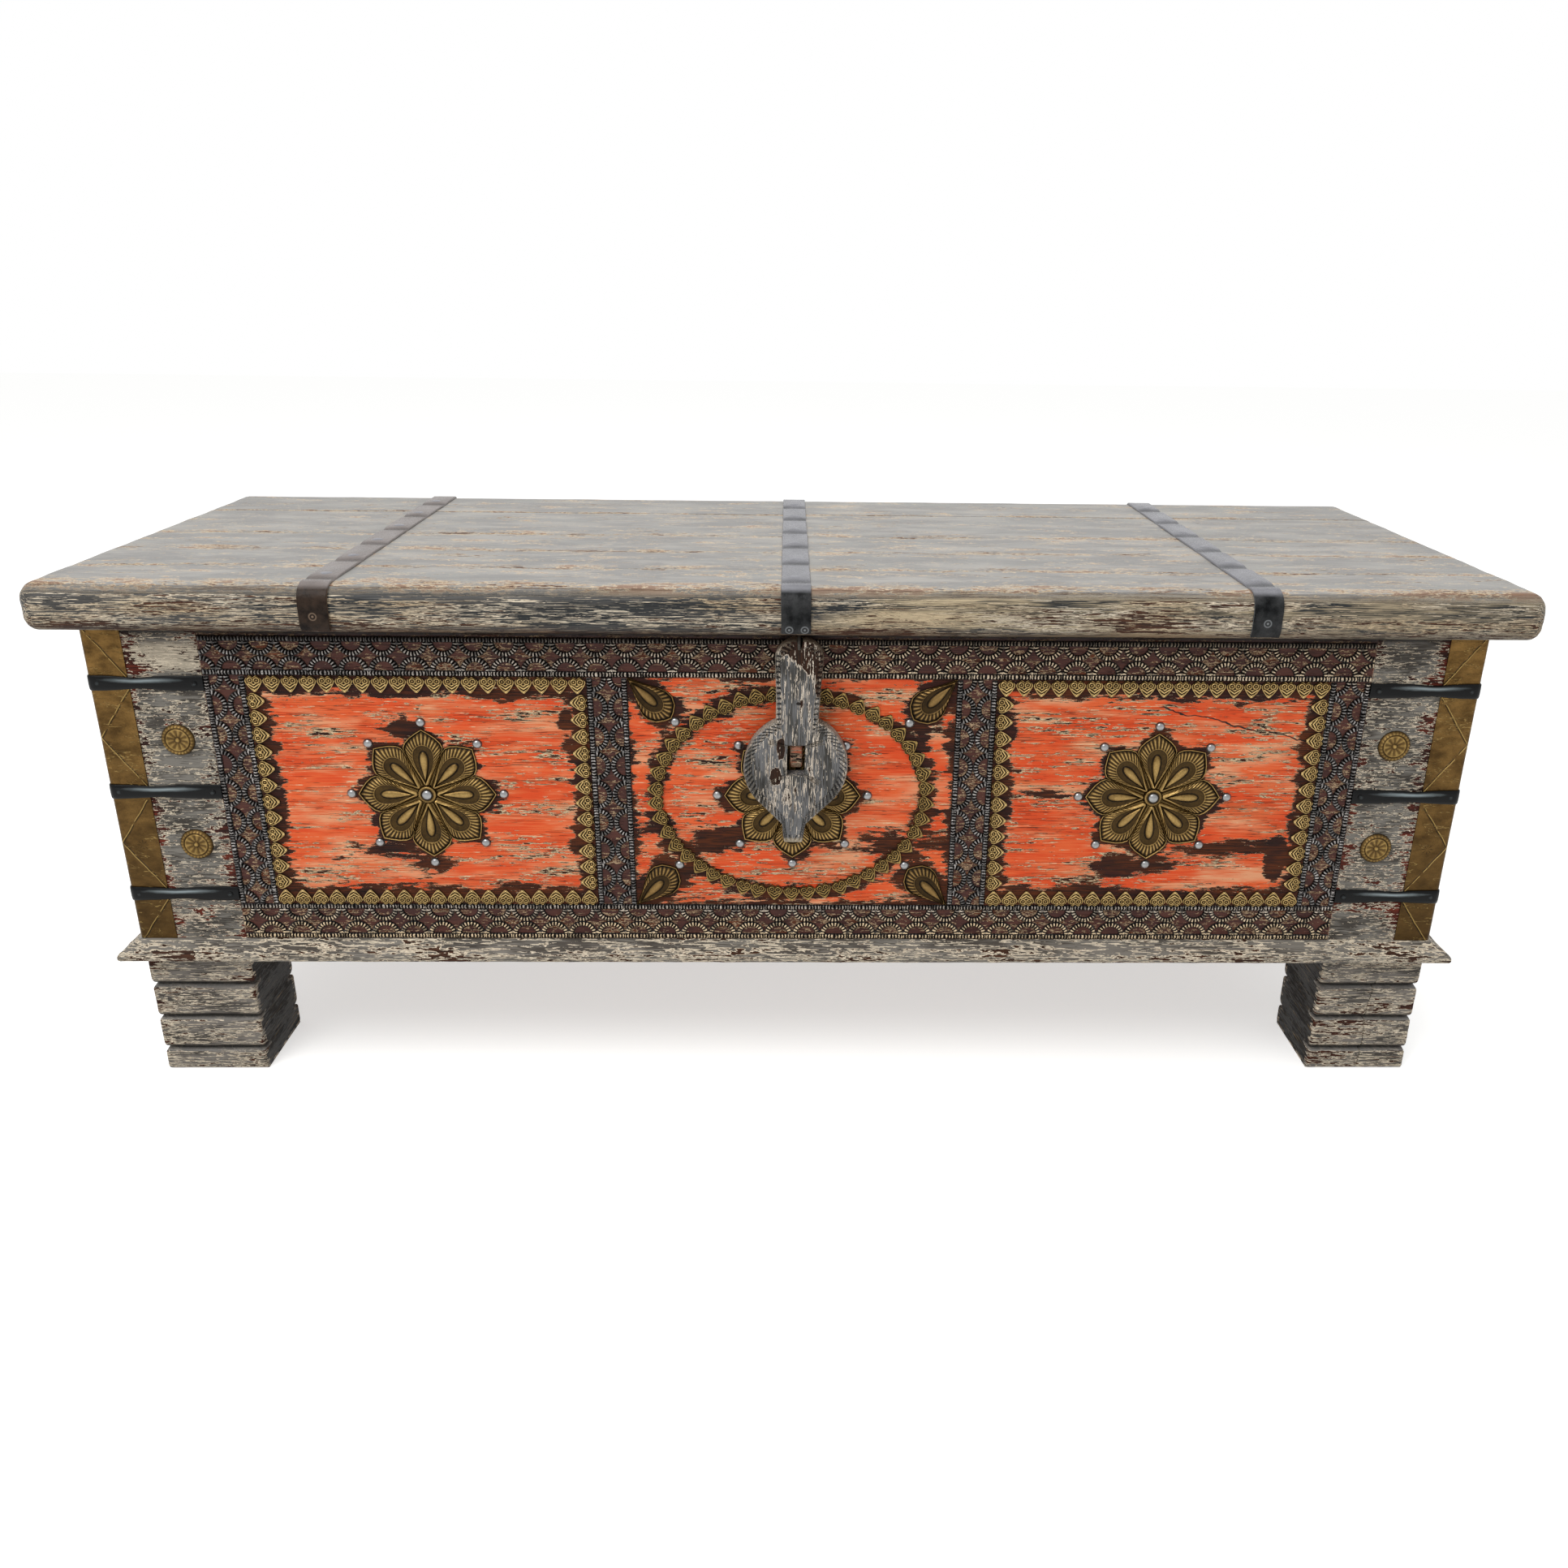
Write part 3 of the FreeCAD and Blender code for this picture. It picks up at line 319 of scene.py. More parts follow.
def off_star(across, up):
    """How far a point lies outside an eight-pointed star as large as a rosette."""
    turn = math_node("FRACT", math_node("ARCTAN2", up, across) / (np.pi / 4) + 8.0)
    return length_of(across, up) - (42 * MM + abs(turn - 0.5) * (30 * MM))


def panel_room(x, z, end):
    """How far a point lies inside the painted part of a panel: the least of several distances.

    They run to the hearts, the oval, the leaves, the stars round the rosettes and the bald
    places. End is the distance to the panels' upper or lower end.
    """
    across = abs(x)
    up = z - PANEL_MIDDLE * MM
    outer_panel = lowest(across - OUTER_PANEL_IN * MM, OUTER_PANEL_OUT * MM - across, end) - 16 * MM
    middle_panel = lowest(MIDDLE_PANEL * MM - across, end) - 2 * MM
    oval = length_of(x / (RING_HALF_WIDTH * MM), (z - RING_MIDDLE * MM) / (RING_HALF_HEIGHT * MM))
    off_oval = abs(oval - 1.0) * (98 * MM) - 6.5 * MM
    side = MIDDLE_PANEL * MM - across
    along = (side + end) * 0.707
    off_leaf = highest(along - 54 * MM, abs(side - end) * 0.707 - 16 * MM)
    middle = lowest(middle_panel, off_oval, off_leaf)
    inside = lowest(highest(outer_panel, middle), off_star(across - ROSETTE_X * MM, up) - 5 * MM,
                    off_star(x, up) - 6 * MM)
    for centre, height, half, tall in WORN_PLACES:
        away = length_of((x - centre * MM) / (half * MM), (z - height * MM) / (tall * MM)) - 1.0
        inside = lowest(inside, away * (tall * MM))
    return inside


def front_coat(tree, place):
    """Worn paint whose colours and wear follow the stiles, the panels and the iron's strips.

    The paint is off where a point has no room, and two noises make that border ragged.
    """
    x, y, z = axes(place)
    across = abs(x)
    end = lowest(z - PANEL_LOW * MM, PANEL_HIGH * MM - z)
    ragged = (noise(place, (24, 5, 5), 6.0, 0.74) - 0.5) * (38 * MM)
    drift = (noise(place, (50, 30, 30), 2.0, 0.5) - 0.5) * (22 * MM)
    room = panel_room(x, z, end) + ragged + drift
    stile_room = lowest(across - (STILE + 4) * MM, (HALF_LENGTH - 38) * MM - across)
    stile_room = stile_room + ragged * 1.1 + drift * 0.8
    on_stile = ramp(across, (STILE - 0.5) * MM, (STILE + 0.5) * MM)
    post = (OUTER_PANEL_IN + MIDDLE_PANEL) / 2
    trim = highest(ramp(across, (OUTER_PANEL_OUT - 1) * MM, (OUTER_PANEL_OUT + 1) * MM),
                   ramp(end, 1 * MM, -1 * MM), ramp(abs(across - post * MM), 17 * MM, 15 * MM))
    trim = trim * (1.0 - on_stile)
    pale = ramp(noise(place, (80, 16, 16), 3.0, 0.6), 0.46, 0.62)
    orange = mix(pale * 0.8, colour("d84a1c"), colour("d9703f"))
    light_orange = mix(pale * 0.75, colour("e06231"), colour("e2aa80"))
    bald = mix(on_stile, ramp(room, 1.5 * MM, -1.5 * MM) * 0.95,
               ramp(stile_room, 3 * MM, -3 * MM) * 0.3)
    wear = (bald + pale * 0.08 - 0.14) * (1.0 - trim) + trim * 0.02 + on_stile * 0.1
    stain = noise(place, (50, 24, 24), 3.0, 0.6)
    wood = mix(ramp(stain + ramp(z, 0.25, 0.22) * 0.1, 0.45, 0.6), colour("36170f"),
               mix(on_stile, colour("55280f"), colour("6e2c1c")))
    wood = mix(trim * 0.7, wood, colour("7a4630"))
    ground = mix(trim * 0.5, colour("e2c9a2"), colour("8b6a52"))
    # The upper end of the left stile has kept little of its grey.
    cream_end = ramp(z, 0.372, 0.378) * ramp(z, 0.399, 0.393) * ramp(x, 0.2, -0.2) * on_stile
    painted = mix(on_stile, orange, mix(cream_end * 0.85, GREY["Paint"], GREY["Ground"]))
    shaded = mix(on_stile, light_orange, mix(cream_end * 0.5, GREY["Shade"], GREY["Ground"]))
    made = use(tree, worn_paint, Place=combined(x * (1.0 + on_stile * 0.7 + trim * 0.8), y, z),
               Paint=mix(trim, painted, colour("3a1c17")), Shade=mix(trim, shaded, colour("4e2a21")),
               Ground=mix(on_stile, ground, GREY["Ground"]), Wood=wood, Wear=wear,
               Scratches=0.4 - trim * 0.5 + on_stile * 0.1, Cracks=0.9)
    # A crack slants down across the right panel, and the top of the board under the lid is painted dark as
    # painted shade.
    wobble = (noise(place, (26, 26, 26), 3.0, 0.6) - 0.5) * (14 * MM)
    split = ramp(abs(z - 0.348 + (x - 0.3) * 0.226 + wobble), 0.8 * MM, 0.35 * MM)
    split = split * ramp(x, 0.298, 0.303) * ramp(x, 0.43, 0.424)
    # The crack, and painted shade along the top of the board where the lid overhangs.
    crack_and_lid_shade = highest(ramp(z, 0.402, 0.406) * 0.9, split)
    return dict(made, Color=mix(crack_and_lid_shade, made["Color"], colour("0e0907")))


def wall_material(name, front):
    """Painted where the board faces outwards, and bare wood inside."""
    material, tree, shader = new_material(name)
    place = object_place(tree)
    x, y = axes(place)[:2]
    if front:
        made = front_coat(tree, place)
    else:
        made = use(tree, worn_paint, Place=round_place(tree), Wear=0.04, **GREY)
    inner = use(tree, bare_wood, Place=place, **BARE)
    outside = highest(ramp(abs(x), (HALF_LENGTH - 0.6) * MM, (HALF_LENGTH - 0.4) * MM),
                      ramp(y, (FRONT + 0.6) * MM, (FRONT + 0.4) * MM),
                      ramp(y, (BACK - 0.6) * MM, (BACK - 0.4) * MM))
    put(shader.inputs["Base Color"], mix(outside, inner["Color"], made["Color"]))
    put(shader.inputs["Roughness"], 0.75 - outside * 0.75 + outside * made["Roughness"])
    shader.inputs["Specular IOR Level"].default_value = 0.25
    bump(shader, outside * made["Height"], 0.5)
    return material


def dress(material, *names):
    """Give CAD nodes this material."""
    for name in names:
        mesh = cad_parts[name].data
        mesh.materials.clear()
        mesh.materials.append(material)


dress(wall_material("front paint", True), "front_board")
dress(wall_material("wall paint", False), "back_board", "left_end_board", "right_end_board")

# The bottom and the two battens under the lid are plain sawn boards, left bare. The battens
# lie across the lid's planks and hold them together.
bare, bare_tree, bare_shader = new_material("sawn wood")
bare_made = use(bare_tree, bare_wood, Place=object_place(bare_tree), **BARE)
put(bare_shader.inputs["Base Color"], bare_made["Color"])
bare_shader.inputs["Roughness"].default_value = 0.8
bump(bare_shader, bare_made["Height"], 0.2)
dress(bare, "bottom_board", "lid_batten_left", "lid_batten_right")


# The base moulding: four lengths with a sloped top and a round nose, mitred at the corners
# and nailed round the foot of the walls. The nose is knocked about and worn to the ground.
class Shape:
    """The surfaces of one piece, in millimetres.

    Relief goes with each point: 0 in a hollow and 1 on a ridge or a worn edge. On the corner straps it
    carries a painted highlight.
    """

    def __init__(self):
        self.points = []
        self.relief = []
        self.faces = []
        self.total = 0

    def add(self, points, relief, *faces):
        self.points.append(points.reshape(-1, 3))
        self.relief.append(np.broadcast_to(relief, points.shape[:-1]).reshape(-1))
        self.faces += [face + self.total for face in faces]
        self.total += len(self.points[-1])

    def grid(self, points, relief=0.5, around=True, ends=True):
        """Rows of points. With around each row closes on itself, and with ends both are capped."""
        rows, columns = points.shape[:2]
        row, column = np.meshgrid(np.arange(rows - 1), np.arange(columns - (not around)), indexing="ij")
        first = row * columns + column
        second = row * columns + (column + 1) % columns
        faces = [np.stack([first, second, second + columns, first + columns], -1).reshape(-1, 4)]
        if ends:
            faces += [np.arange(columns)[None, ::-1], np.arange(columns)[None] + (rows - 1) * columns]
        self.add(points, relief, *faces)

    def on_front(self, places):
        """Copies of a shape drawn as (across, up, out), each set at its x, z and turn on the front."""
        points = np.concatenate(self.points)
        x, z, turn = np.array(places, float).T[..., None]
        across, up, out = points.T
        copies = np.stack([x + across * np.cos(turn) - up * np.sin(turn), FRONT - out + 0 * x,
                           z + across * np.sin(turn) + up * np.cos(turn)], -1)
        steps = np.arange(len(places))[:, None, None] * len(points)
        made = Shape()
        faces = [(face[None] + steps).reshape(-1, face.shape[1]) for face in self.faces]
        made.add(copies, np.tile(np.concatenate(self.relief), (len(places), 1)), *faces)
        return made

    def join(self, other):
        for points, relief in zip(other.points, other.relief):
            self.points.append(points)
            self.relief.append(relief)
        self.faces += [face + self.total for face in other.faces]
        self.total += other.total

    def piece(self, name, material, body, slot, *nodes, sharp=45, weld=False):
        """Make the mesh in metres, let it ride on its body and stand for its nodes."""
        points = np.concatenate(self.points) * MM
        mesh = bpy.data.meshes.new(name + "_look")
        mesh.vertices.add(len(points))
        mesh.vertices.foreach_set("co", points.astype(np.float32).ravel())
        corners = np.concatenate([face.ravel() for face in self.faces])
        sizes = np.concatenate([np.full(len(face), face.shape[1]) for face in self.faces])
        mesh.loops.add(len(corners))
        mesh.loops.foreach_set("vertex_index", corners.astype(np.int32))
        mesh.polygons.add(len(sizes))
        starts = np.concatenate([[0], np.cumsum(sizes)[:-1]])
        mesh.polygons.foreach_set("loop_start", starts.astype(np.int32))
        mesh.update(calc_edges=True)
        relief = mesh.attributes.new("relief", "FLOAT", "POINT")
        relief.data.foreach_set("value", np.concatenate(self.relief).astype(np.float32))
        work = bmesh.new()
        work.from_mesh(mesh)
        if weld:
            bmesh.ops.remove_doubles(work, verts=work.verts, dist=0.002 * MM)
        bmesh.ops.recalc_face_normals(work, faces=work.faces)
        work.to_mesh(mesh)
        work.free()
        mesh.shade_smooth()
        mesh.set_sharp_from_angle(angle=np.radians(sharp))
        mesh.materials.append(material)
        item = bpy.data.objects.new(name + "_look", mesh)
        bpy.context.scene.collection.objects.link(item)
        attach(item, body)
        if nodes:
            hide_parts(*nodes)
        return item


def waves(along, across, seed):
    """Hand-made unevenness from -1 to 1: crossed sine waves of three lengths, with fixed phases."""
    phase = np.random.default_rng(seed).uniform(0, 2 * np.pi, (3, 3))
    total = 0
    for level, size in enumerate((1.0, 2.3, 4.9)):
        first = np.sin(size * (along + 0.31 * across) + phase[level, 0])
        second = np.cos(size * (across - 0.27 * along) + phase[level, 1])
        total = total + first * second / size ** 0.8
    return total / 1.8


def arc(centre, radius, start, end, count):
    """Points of a circle's arc, from one angle in degrees to the other."""
    turn = np.radians(np.linspace(start, end, count))
    return np.stack([centre[0] + radius * np.cos(turn), centre[1] + radius * np.sin(turn)], -1)


def edge_paint(name, wear, **colours):
    """Worn paint that is rubbed through where the relief is high."""
    material, tree, shader = new_material(name)
    relief = attribute(tree, "relief")
    edge = ramp(relief, 0.35, 1.0)
    made = use(tree, worn_paint, Place=round_place(tree), Wear=edge * 0.16 + wear, **{**GREY, **colours})
    painted_shader(shader, made)
    return material, tree, shader, made, relief


def moulding_profile():
    """(out, up) round the section, with how much each point stands out to be knocked."""
    profile = np.array([
        [0.0, 16.0], [2.0, 14.9], [4.5, 13.4], [7.0, 11.9], [9.5, 10.4], [11.5, 9.6], [13.3, 8.6],
        [14.6, 7.2], [15.5, 5.4], [15.7, 3.6], [15.4, 2.0], [14.4, 0.6], [12.8, 0.0], [9.0, 0.0],
        [4.0, 0.0], [0.0, 0.0]])
    return profile, np.interp(profile[:, 0], [0, 8, 15], [0.2, 0.4, 1.0])


def moulding(name, half_run, half_width, turn, seed):
    """The section carried along one side; each point's run grows with how far it projects."""
    profile, edge = moulding_profile()
    steps = np.linspace(-1, 1, int(half_run / 2.5))[:, None]
    along = steps * (half_run + profile[:, 0])
    knocks = waves(along / 9, profile[:, 1] / 6 + profile[:, 0] / 9, seed)
    gouges = np.clip(waves(along / 31, 0.0 * along, seed + 1) - 0.45, 0, 1)
    dents = 0.5 * knocks * edge - 1.2 * edge * gouges - 0.3 * edge
    out = np.maximum(profile[:, 0] + dents * (profile[:, 0] > 0.5), 0)
    ripple = np.where(profile[:, 1] > 8, 0.25 * knocks, 0) * (profile[:, 0] > 0.5)
    up = profile[:, 1] + ripple + 0 * along
    side = -(half_width + out)
    cos, sin = round(np.cos(turn)), round(np.sin(turn))
    centre = (FRONT + BACK) / 2
    points = np.stack([along * cos - side * sin, along * sin + side * cos + centre, up + FOOT_TOP], -1)
    shape = Shape()
    shape.grid(points, np.clip(edge + 0.25 * knocks, 0, 1))
    shape.piece(name, moulding_paint, "chest", "grey_paint", name)


moulding_paint = edge_paint("moulding paint", -0.02, Paint=colour("7b766e"), Shade=colour("4b453e"),
                            Wood=colour("4d3020"), Scratches=0.75)[0]
half_depth = (BACK - FRONT) / 2
moulding("base_moulding_front", HALF_LENGTH, half_depth, 0.0, 1)
moulding("base_moulding_right", half_depth, HALF_LENGTH, np.pi / 2, 2)
moulding("base_moulding_back", HALF_LENGTH, half_depth, np.pi, 3)
moulding("base_moulding_left", half_depth, HALF_LENGTH, -np.pi / 2, 4)

# The feet: four blocks of wood, sawn across so that the front and back stand out in lobes.
# Each lobe is undercut below, and the next one slopes up into the cut. The paint has gone
# from most of the corners, and one foot is split.
FOOT_WIDTH = 88.5
FOOT_DEPTH = 80.0
LOBE_CUTS = (86.5, 53.8, 21.4)
LOBE_ROUND = 6.5
FOOT_COLUMNS = 16


def feet_material():
    """Streaky front faces; a lighter smooth grey on the slopes above each lobe, as painted light from
    above; black cuts, as painted shadow under each lobe; and sawn ends in dark grain, darkened further as
    painted shade.
    """
    material, tree, shader, made, relief = edge_paint(
        "foot paint", 0.08, Paint=colour("77716a"), Shade=colour("3a352f"), Wood=colour("4a2515"),
        Scratches=0.7)
    z = axes(object_place(tree))[2]
    faces = ramp(relief, 0.08, 0.14)
    # Painted light: the slopes on top of the lobes face up and get a lighter grey.
    slope = highest(*[ramp(z, (low - 3.2) * MM, (low - 2.4) * MM)
                      * ramp(z, (low - 0.2) * MM, (low - 0.6) * MM) for low in LOBE_CUTS]) * faces
    # Painted shadow: the undercut below each lobe is painted nearly black.
    cut = highest(*[ramp(abs(z - (low + 1.6) * MM), 3.4 * MM, 1.4 * MM) for low in LOBE_CUTS]) * faces
    grain = noise(object_place(tree), (1.4, 40, 2.2), 4.0, 0.65)
    smooth = mix(grain, colour("96938f"), colour("605d59"))
    # The sawn ends: dark grain, darkened further as painted shade.
    pale_grain = mix(ramp(grain, 0.6, 0.7), colour("2b261f"), colour("75603f"))
    sawn = mix(ramp(grain, 0.4, 0.64), colour("0f0c0a"), pale_grain)
    shown = mix(slope * 0.85, made["Color"], smooth)
    shown = mix(cut * 0.9, shown, colour("15110e"))
    put(shader.inputs["Base Color"], mix(faces, sawn, shown))
    return material


feet_paint = feet_material()


def lobed_side():
    """(depth, height) down one side: three cuts, each rounded over above and sloped below."""
    parts = [np.array([[0.0, FOOT_TOP]])]
    for low in LOBE_CUTS:
        parts.append(arc((LOBE_ROUND, low + LOBE_ROUND), LOBE_ROUND, 180, 270, 8))
        parts.append(np.array([[10.2, low], [10.6, low - 0.5], [2.6, low - 1.8], [0.8, low - 2.6],
                               [0.0, low - 4.2]]))
    parts.append(np.array([[0.0, 3.0], [0.9, 0.9], [3.0, 0.0]]))
    return np.concatenate(parts)


def run_along(path):
    """How far along a path each of its points lies."""
    return np.concatenate([[0], np.cumsum(np.linalg.norm(np.diff(path, axis=0), axis=1))])


def evenly(points, spacing, closed=False):
    """The same path with its points an even distance apart."""
    if closed:
        points = np.concatenate([points, points[:1]])
    steps = run_along(points)
    count = max(2, int(round(steps[-1] / spacing)) + 1)
    at = np.linspace(0, steps[-1], count)[:-1 if closed else None]
    return np.stack([np.interp(at, steps, points[:, axis]) for axis in range(points.shape[1])], -1)


def normals_of(path, closed=False):
    """Unit vectors square to a path, to the left of its run."""
    if closed:
        run = np.roll(path, -1, 0) - np.roll(path, 1, 0)
    else:
        run = np.gradient(path, axis=0)
    normal = np.stack([-run[:, 1], run[:, 0]], -1)
    return normal / np.maximum(np.linalg.norm(normal, axis=1, keepdims=True), 1e-9)


def end_steps(half, radius, spacing):
    """Places along a bar, close together at its rounded ends, with how far each is drawn in."""
    share = np.sin(np.linspace(0, np.pi / 2, 6))
    near = radius * (1 - np.cos(np.linspace(0, np.pi / 2, 6)))
    middle = np.linspace(-half + radius, half - radius, max(3, int(2 * half / spacing)))[1:-1]
    places = np.concatenate([-half + near, middle, half - near[::-1]])
    inset = np.concatenate([radius * (1 - share), 0 * middle, radius * (1 - share[::-1])])
    return places, inset


def foot(name, x, y, seed, split=None):
    """The lobed outline carried across the block and drawn in at both ends, with a flat grid on each."""
    front = evenly(lobed_side(), 1.6) - (FOOT_DEPTH / 2, 0)
    back = front[::-1] * (-1, 1)
    inner = np.linspace(0, 1, FOOT_COLUMNS)[1:-1, None]
    outline = np.concatenate([front, front[-1] + (back[0] - front[-1]) * inner,
                              back, back[-1] + (front[0] - back[-1]) * inner])
    inward = normals_of(outline, closed=True)
    places, inset = end_steps(FOOT_WIDTH / 2, 2.2, 3.0)
    if split is not None:
        crack = np.array([-1.2, -0.5, 0.0, 0.5, 1.2]) + split
        order = np.argsort(np.concatenate([places, crack]), kind="stable")
        inset = np.concatenate([inset, 0 * crack])[order]
        places = np.concatenate([places, crack])[order]
    across = places[:, None] + 0 * outline[:, 0]
    rough = waves(across / 14, outline[:, 1] / 5 + outline[:, 0] / 11, seed)
    depth = inset[:, None] + 0.35 + 0.35 * rough
    if split is not None:
        wander = 1.5 * np.sin(outline[:, 1] / 13) + 2.4 * (outline[:, 1] - 60) / 60
        near = np.abs(places - split)[:, None]
        open_part = (outline[:, 0] < -20) * (outline[:, 1] < 93)
        depth = depth + 1.6 * np.clip(1 - near / 0.6, 0, 1) * open_part
        across = across + wander * np.clip(1 - near / 25, 0, 1)
    level = (outline[:, 1] > FOOT_TOP - 0.5) | (outline[:, 1] < 0.5)
    depth = np.where(level, 0, depth)
    points = np.stack([across + x, outline[:, 0] + inward[:, 0] * depth + y,
                       np.clip(outline[:, 1] + inward[:, 1] * depth, 0, FOOT_TOP)], -1)
    corner = np.clip(1 - (FOOT_WIDTH / 2 - np.abs(places))[:, None] / 4, 0, 1)
    relief = np.clip(0.35 + 0.65 * corner + 0.25 * rough, 0.15, 1)
    shape = Shape()
    shape.grid(points, relief, ends=False)
    rows, between = len(front), len(inner)
    share = np.linspace(0, 1, FOOT_COLUMNS)[:, None]
    for end in (0, -1):
        loop = points[end]
        behind = loop[rows + between:2 * rows + between][::-1]
        face = loop[:rows][:, None] * (1 - share) + behind[:, None] * share
        face[-1, 1:-1] = loop[rows:rows + between]
        face[0, 1:-1] = loop[2 * rows + between:][::-1]
        hollow = np.sin(np.pi * share[:, 0]) * np.sin(np.pi * np.linspace(0, 1, rows))[:, None]
        uneven = 0.35 + 0.3 * waves(face[..., 1] / 17, face[..., 2] / 7, seed + 40)
        face[..., 0] -= np.sign(places[end]) * hollow * uneven
        shape.grid(face, 0.0, around=False, ends=False)
    shape.piece(name, feet_paint, "chest", "grey_paint", name, weld=True)


foot_x = HALF_LENGTH - FOOT_WIDTH / 2
for side, x in (("left", -foot_x), ("right", foot_x)):
    foot("foot_front_" + side, x, FRONT + FOOT_DEPTH / 2, 5 if x < 0 else 6, split=3.0 if x > 0 else None)
    foot("foot_back_" + side, x, BACK - FOOT_DEPTH / 2, 7 if x < 0 else 8)

# The lid: four planks edge to edge, rounded as one slab at the front and ends. The rims are
# worn down to the ground and the wood, and along the joints the paint has rubbed away.
LID_LOW = 412.5
LID_HIGH = 450.0
LID_HALF_LENGTH = 589.0
LID_HALF_DEPTH = 207.0
LOWER_ROUND = 10.0
UPPER_ROUND = 14.0
SEAMS = (-207.0, -133.0, 9.1, 123.0, 207.0)
# Worn bands along the top as (depth, reach).
WORN_BANDS = ((-196.0, 17), (-133.0, 11), (-62.0, 9), (9.1, 12), (123.0, 8))


def plank_profile(start, end, front, back):
    """(depth, height) round one plank, counter-clockwise from its lower back corner."""
    low, high = LID_LOW, LID_HIGH
    parts = []
    if front:
        parts += [np.array([[end, low], [start + LOWER_ROUND, low]]),
                  arc((start + LOWER_ROUND, low + LOWER_ROUND), LOWER_ROUND, 270, 180, 8),
                  arc((start + UPPER_ROUND, high - UPPER_ROUND), UPPER_ROUND, 180, 90, 10)]
    else:
        parts += [np.array([[end, low], [start, low], [start, high - 0.7], [start + 0.7, high]])]
    ease = 2.0 if back else 0.7
    parts += [np.array([[end - ease, high], [end, high - ease]])]
    return evenly(np.concatenate(parts), 2.6, closed=True)


def plank(number, seed):
    """The profile carried along the lid, thinner and drawn back where the ends are rounded."""
    start, end = SEAMS[number - 1:number + 1]
    profile = plank_profile(start, end, number == 1, number == 4)
    places, inset = end_steps(LID_HALF_LENGTH, 11.0, 6.0)
    along = places[:, None] + 0 * profile[:, 0]
    drawn = inset[:, None]
    depth, height = profile[:, 0], profile[:, 1]
    middle = (LID_LOW + LID_HIGH) / 2
    half = (LID_HIGH - LID_LOW) / 2
    up = middle + (height - middle) * (half - drawn * 0.85) / half
    pull = np.clip(1 - (depth + LID_HALF_DEPTH) / 30, 0, 1) if number == 1 else 0 * depth
    push = np.clip((depth - LID_HALF_DEPTH + 30) / 30, 0, 1) if number == 4 else 0 * depth
    level = depth + pull * drawn * 0.9 - push * drawn * 0.4
    rim = np.clip(1 - (depth + LID_HALF_DEPTH) / 14, 0, 1) if number == 1 else 0 * depth
    rim = np.maximum(rim, np.clip(1 - (LID_HALF_LENGTH - np.abs(along)) / 14, 0, 1))
    rough = waves(along / 23, depth / 12 + height / 9, seed)
    fine = waves(along / 6, depth / 5 + height / 5, seed + 20)
    wear = 0.25 + 0.2 * rough + 0.5 * rim * (1 + 0.5 * rough) + 0.12 * rim * fine
    upper = height > middle
    up = up - np.where(upper, np.maximum(wear, 0), 0)
    level = level + pull * np.maximum(wear, 0) * (height > LID_LOW + 1) * (height < LID_HIGH - 1)
    along = along - np.sign(along) * 0.4 * rim * (1 + rough)
    points = np.stack([along, level, np.maximum(up, LID_LOW)], -1)
    shape = Shape()
    shape.grid(points, np.clip(rim + 0.2 * rough, 0, 1))
    shape.piece("lid_plank_%d" % number, lid_paint, "lid", "grey_paint", "lid_plank_%d" % number)


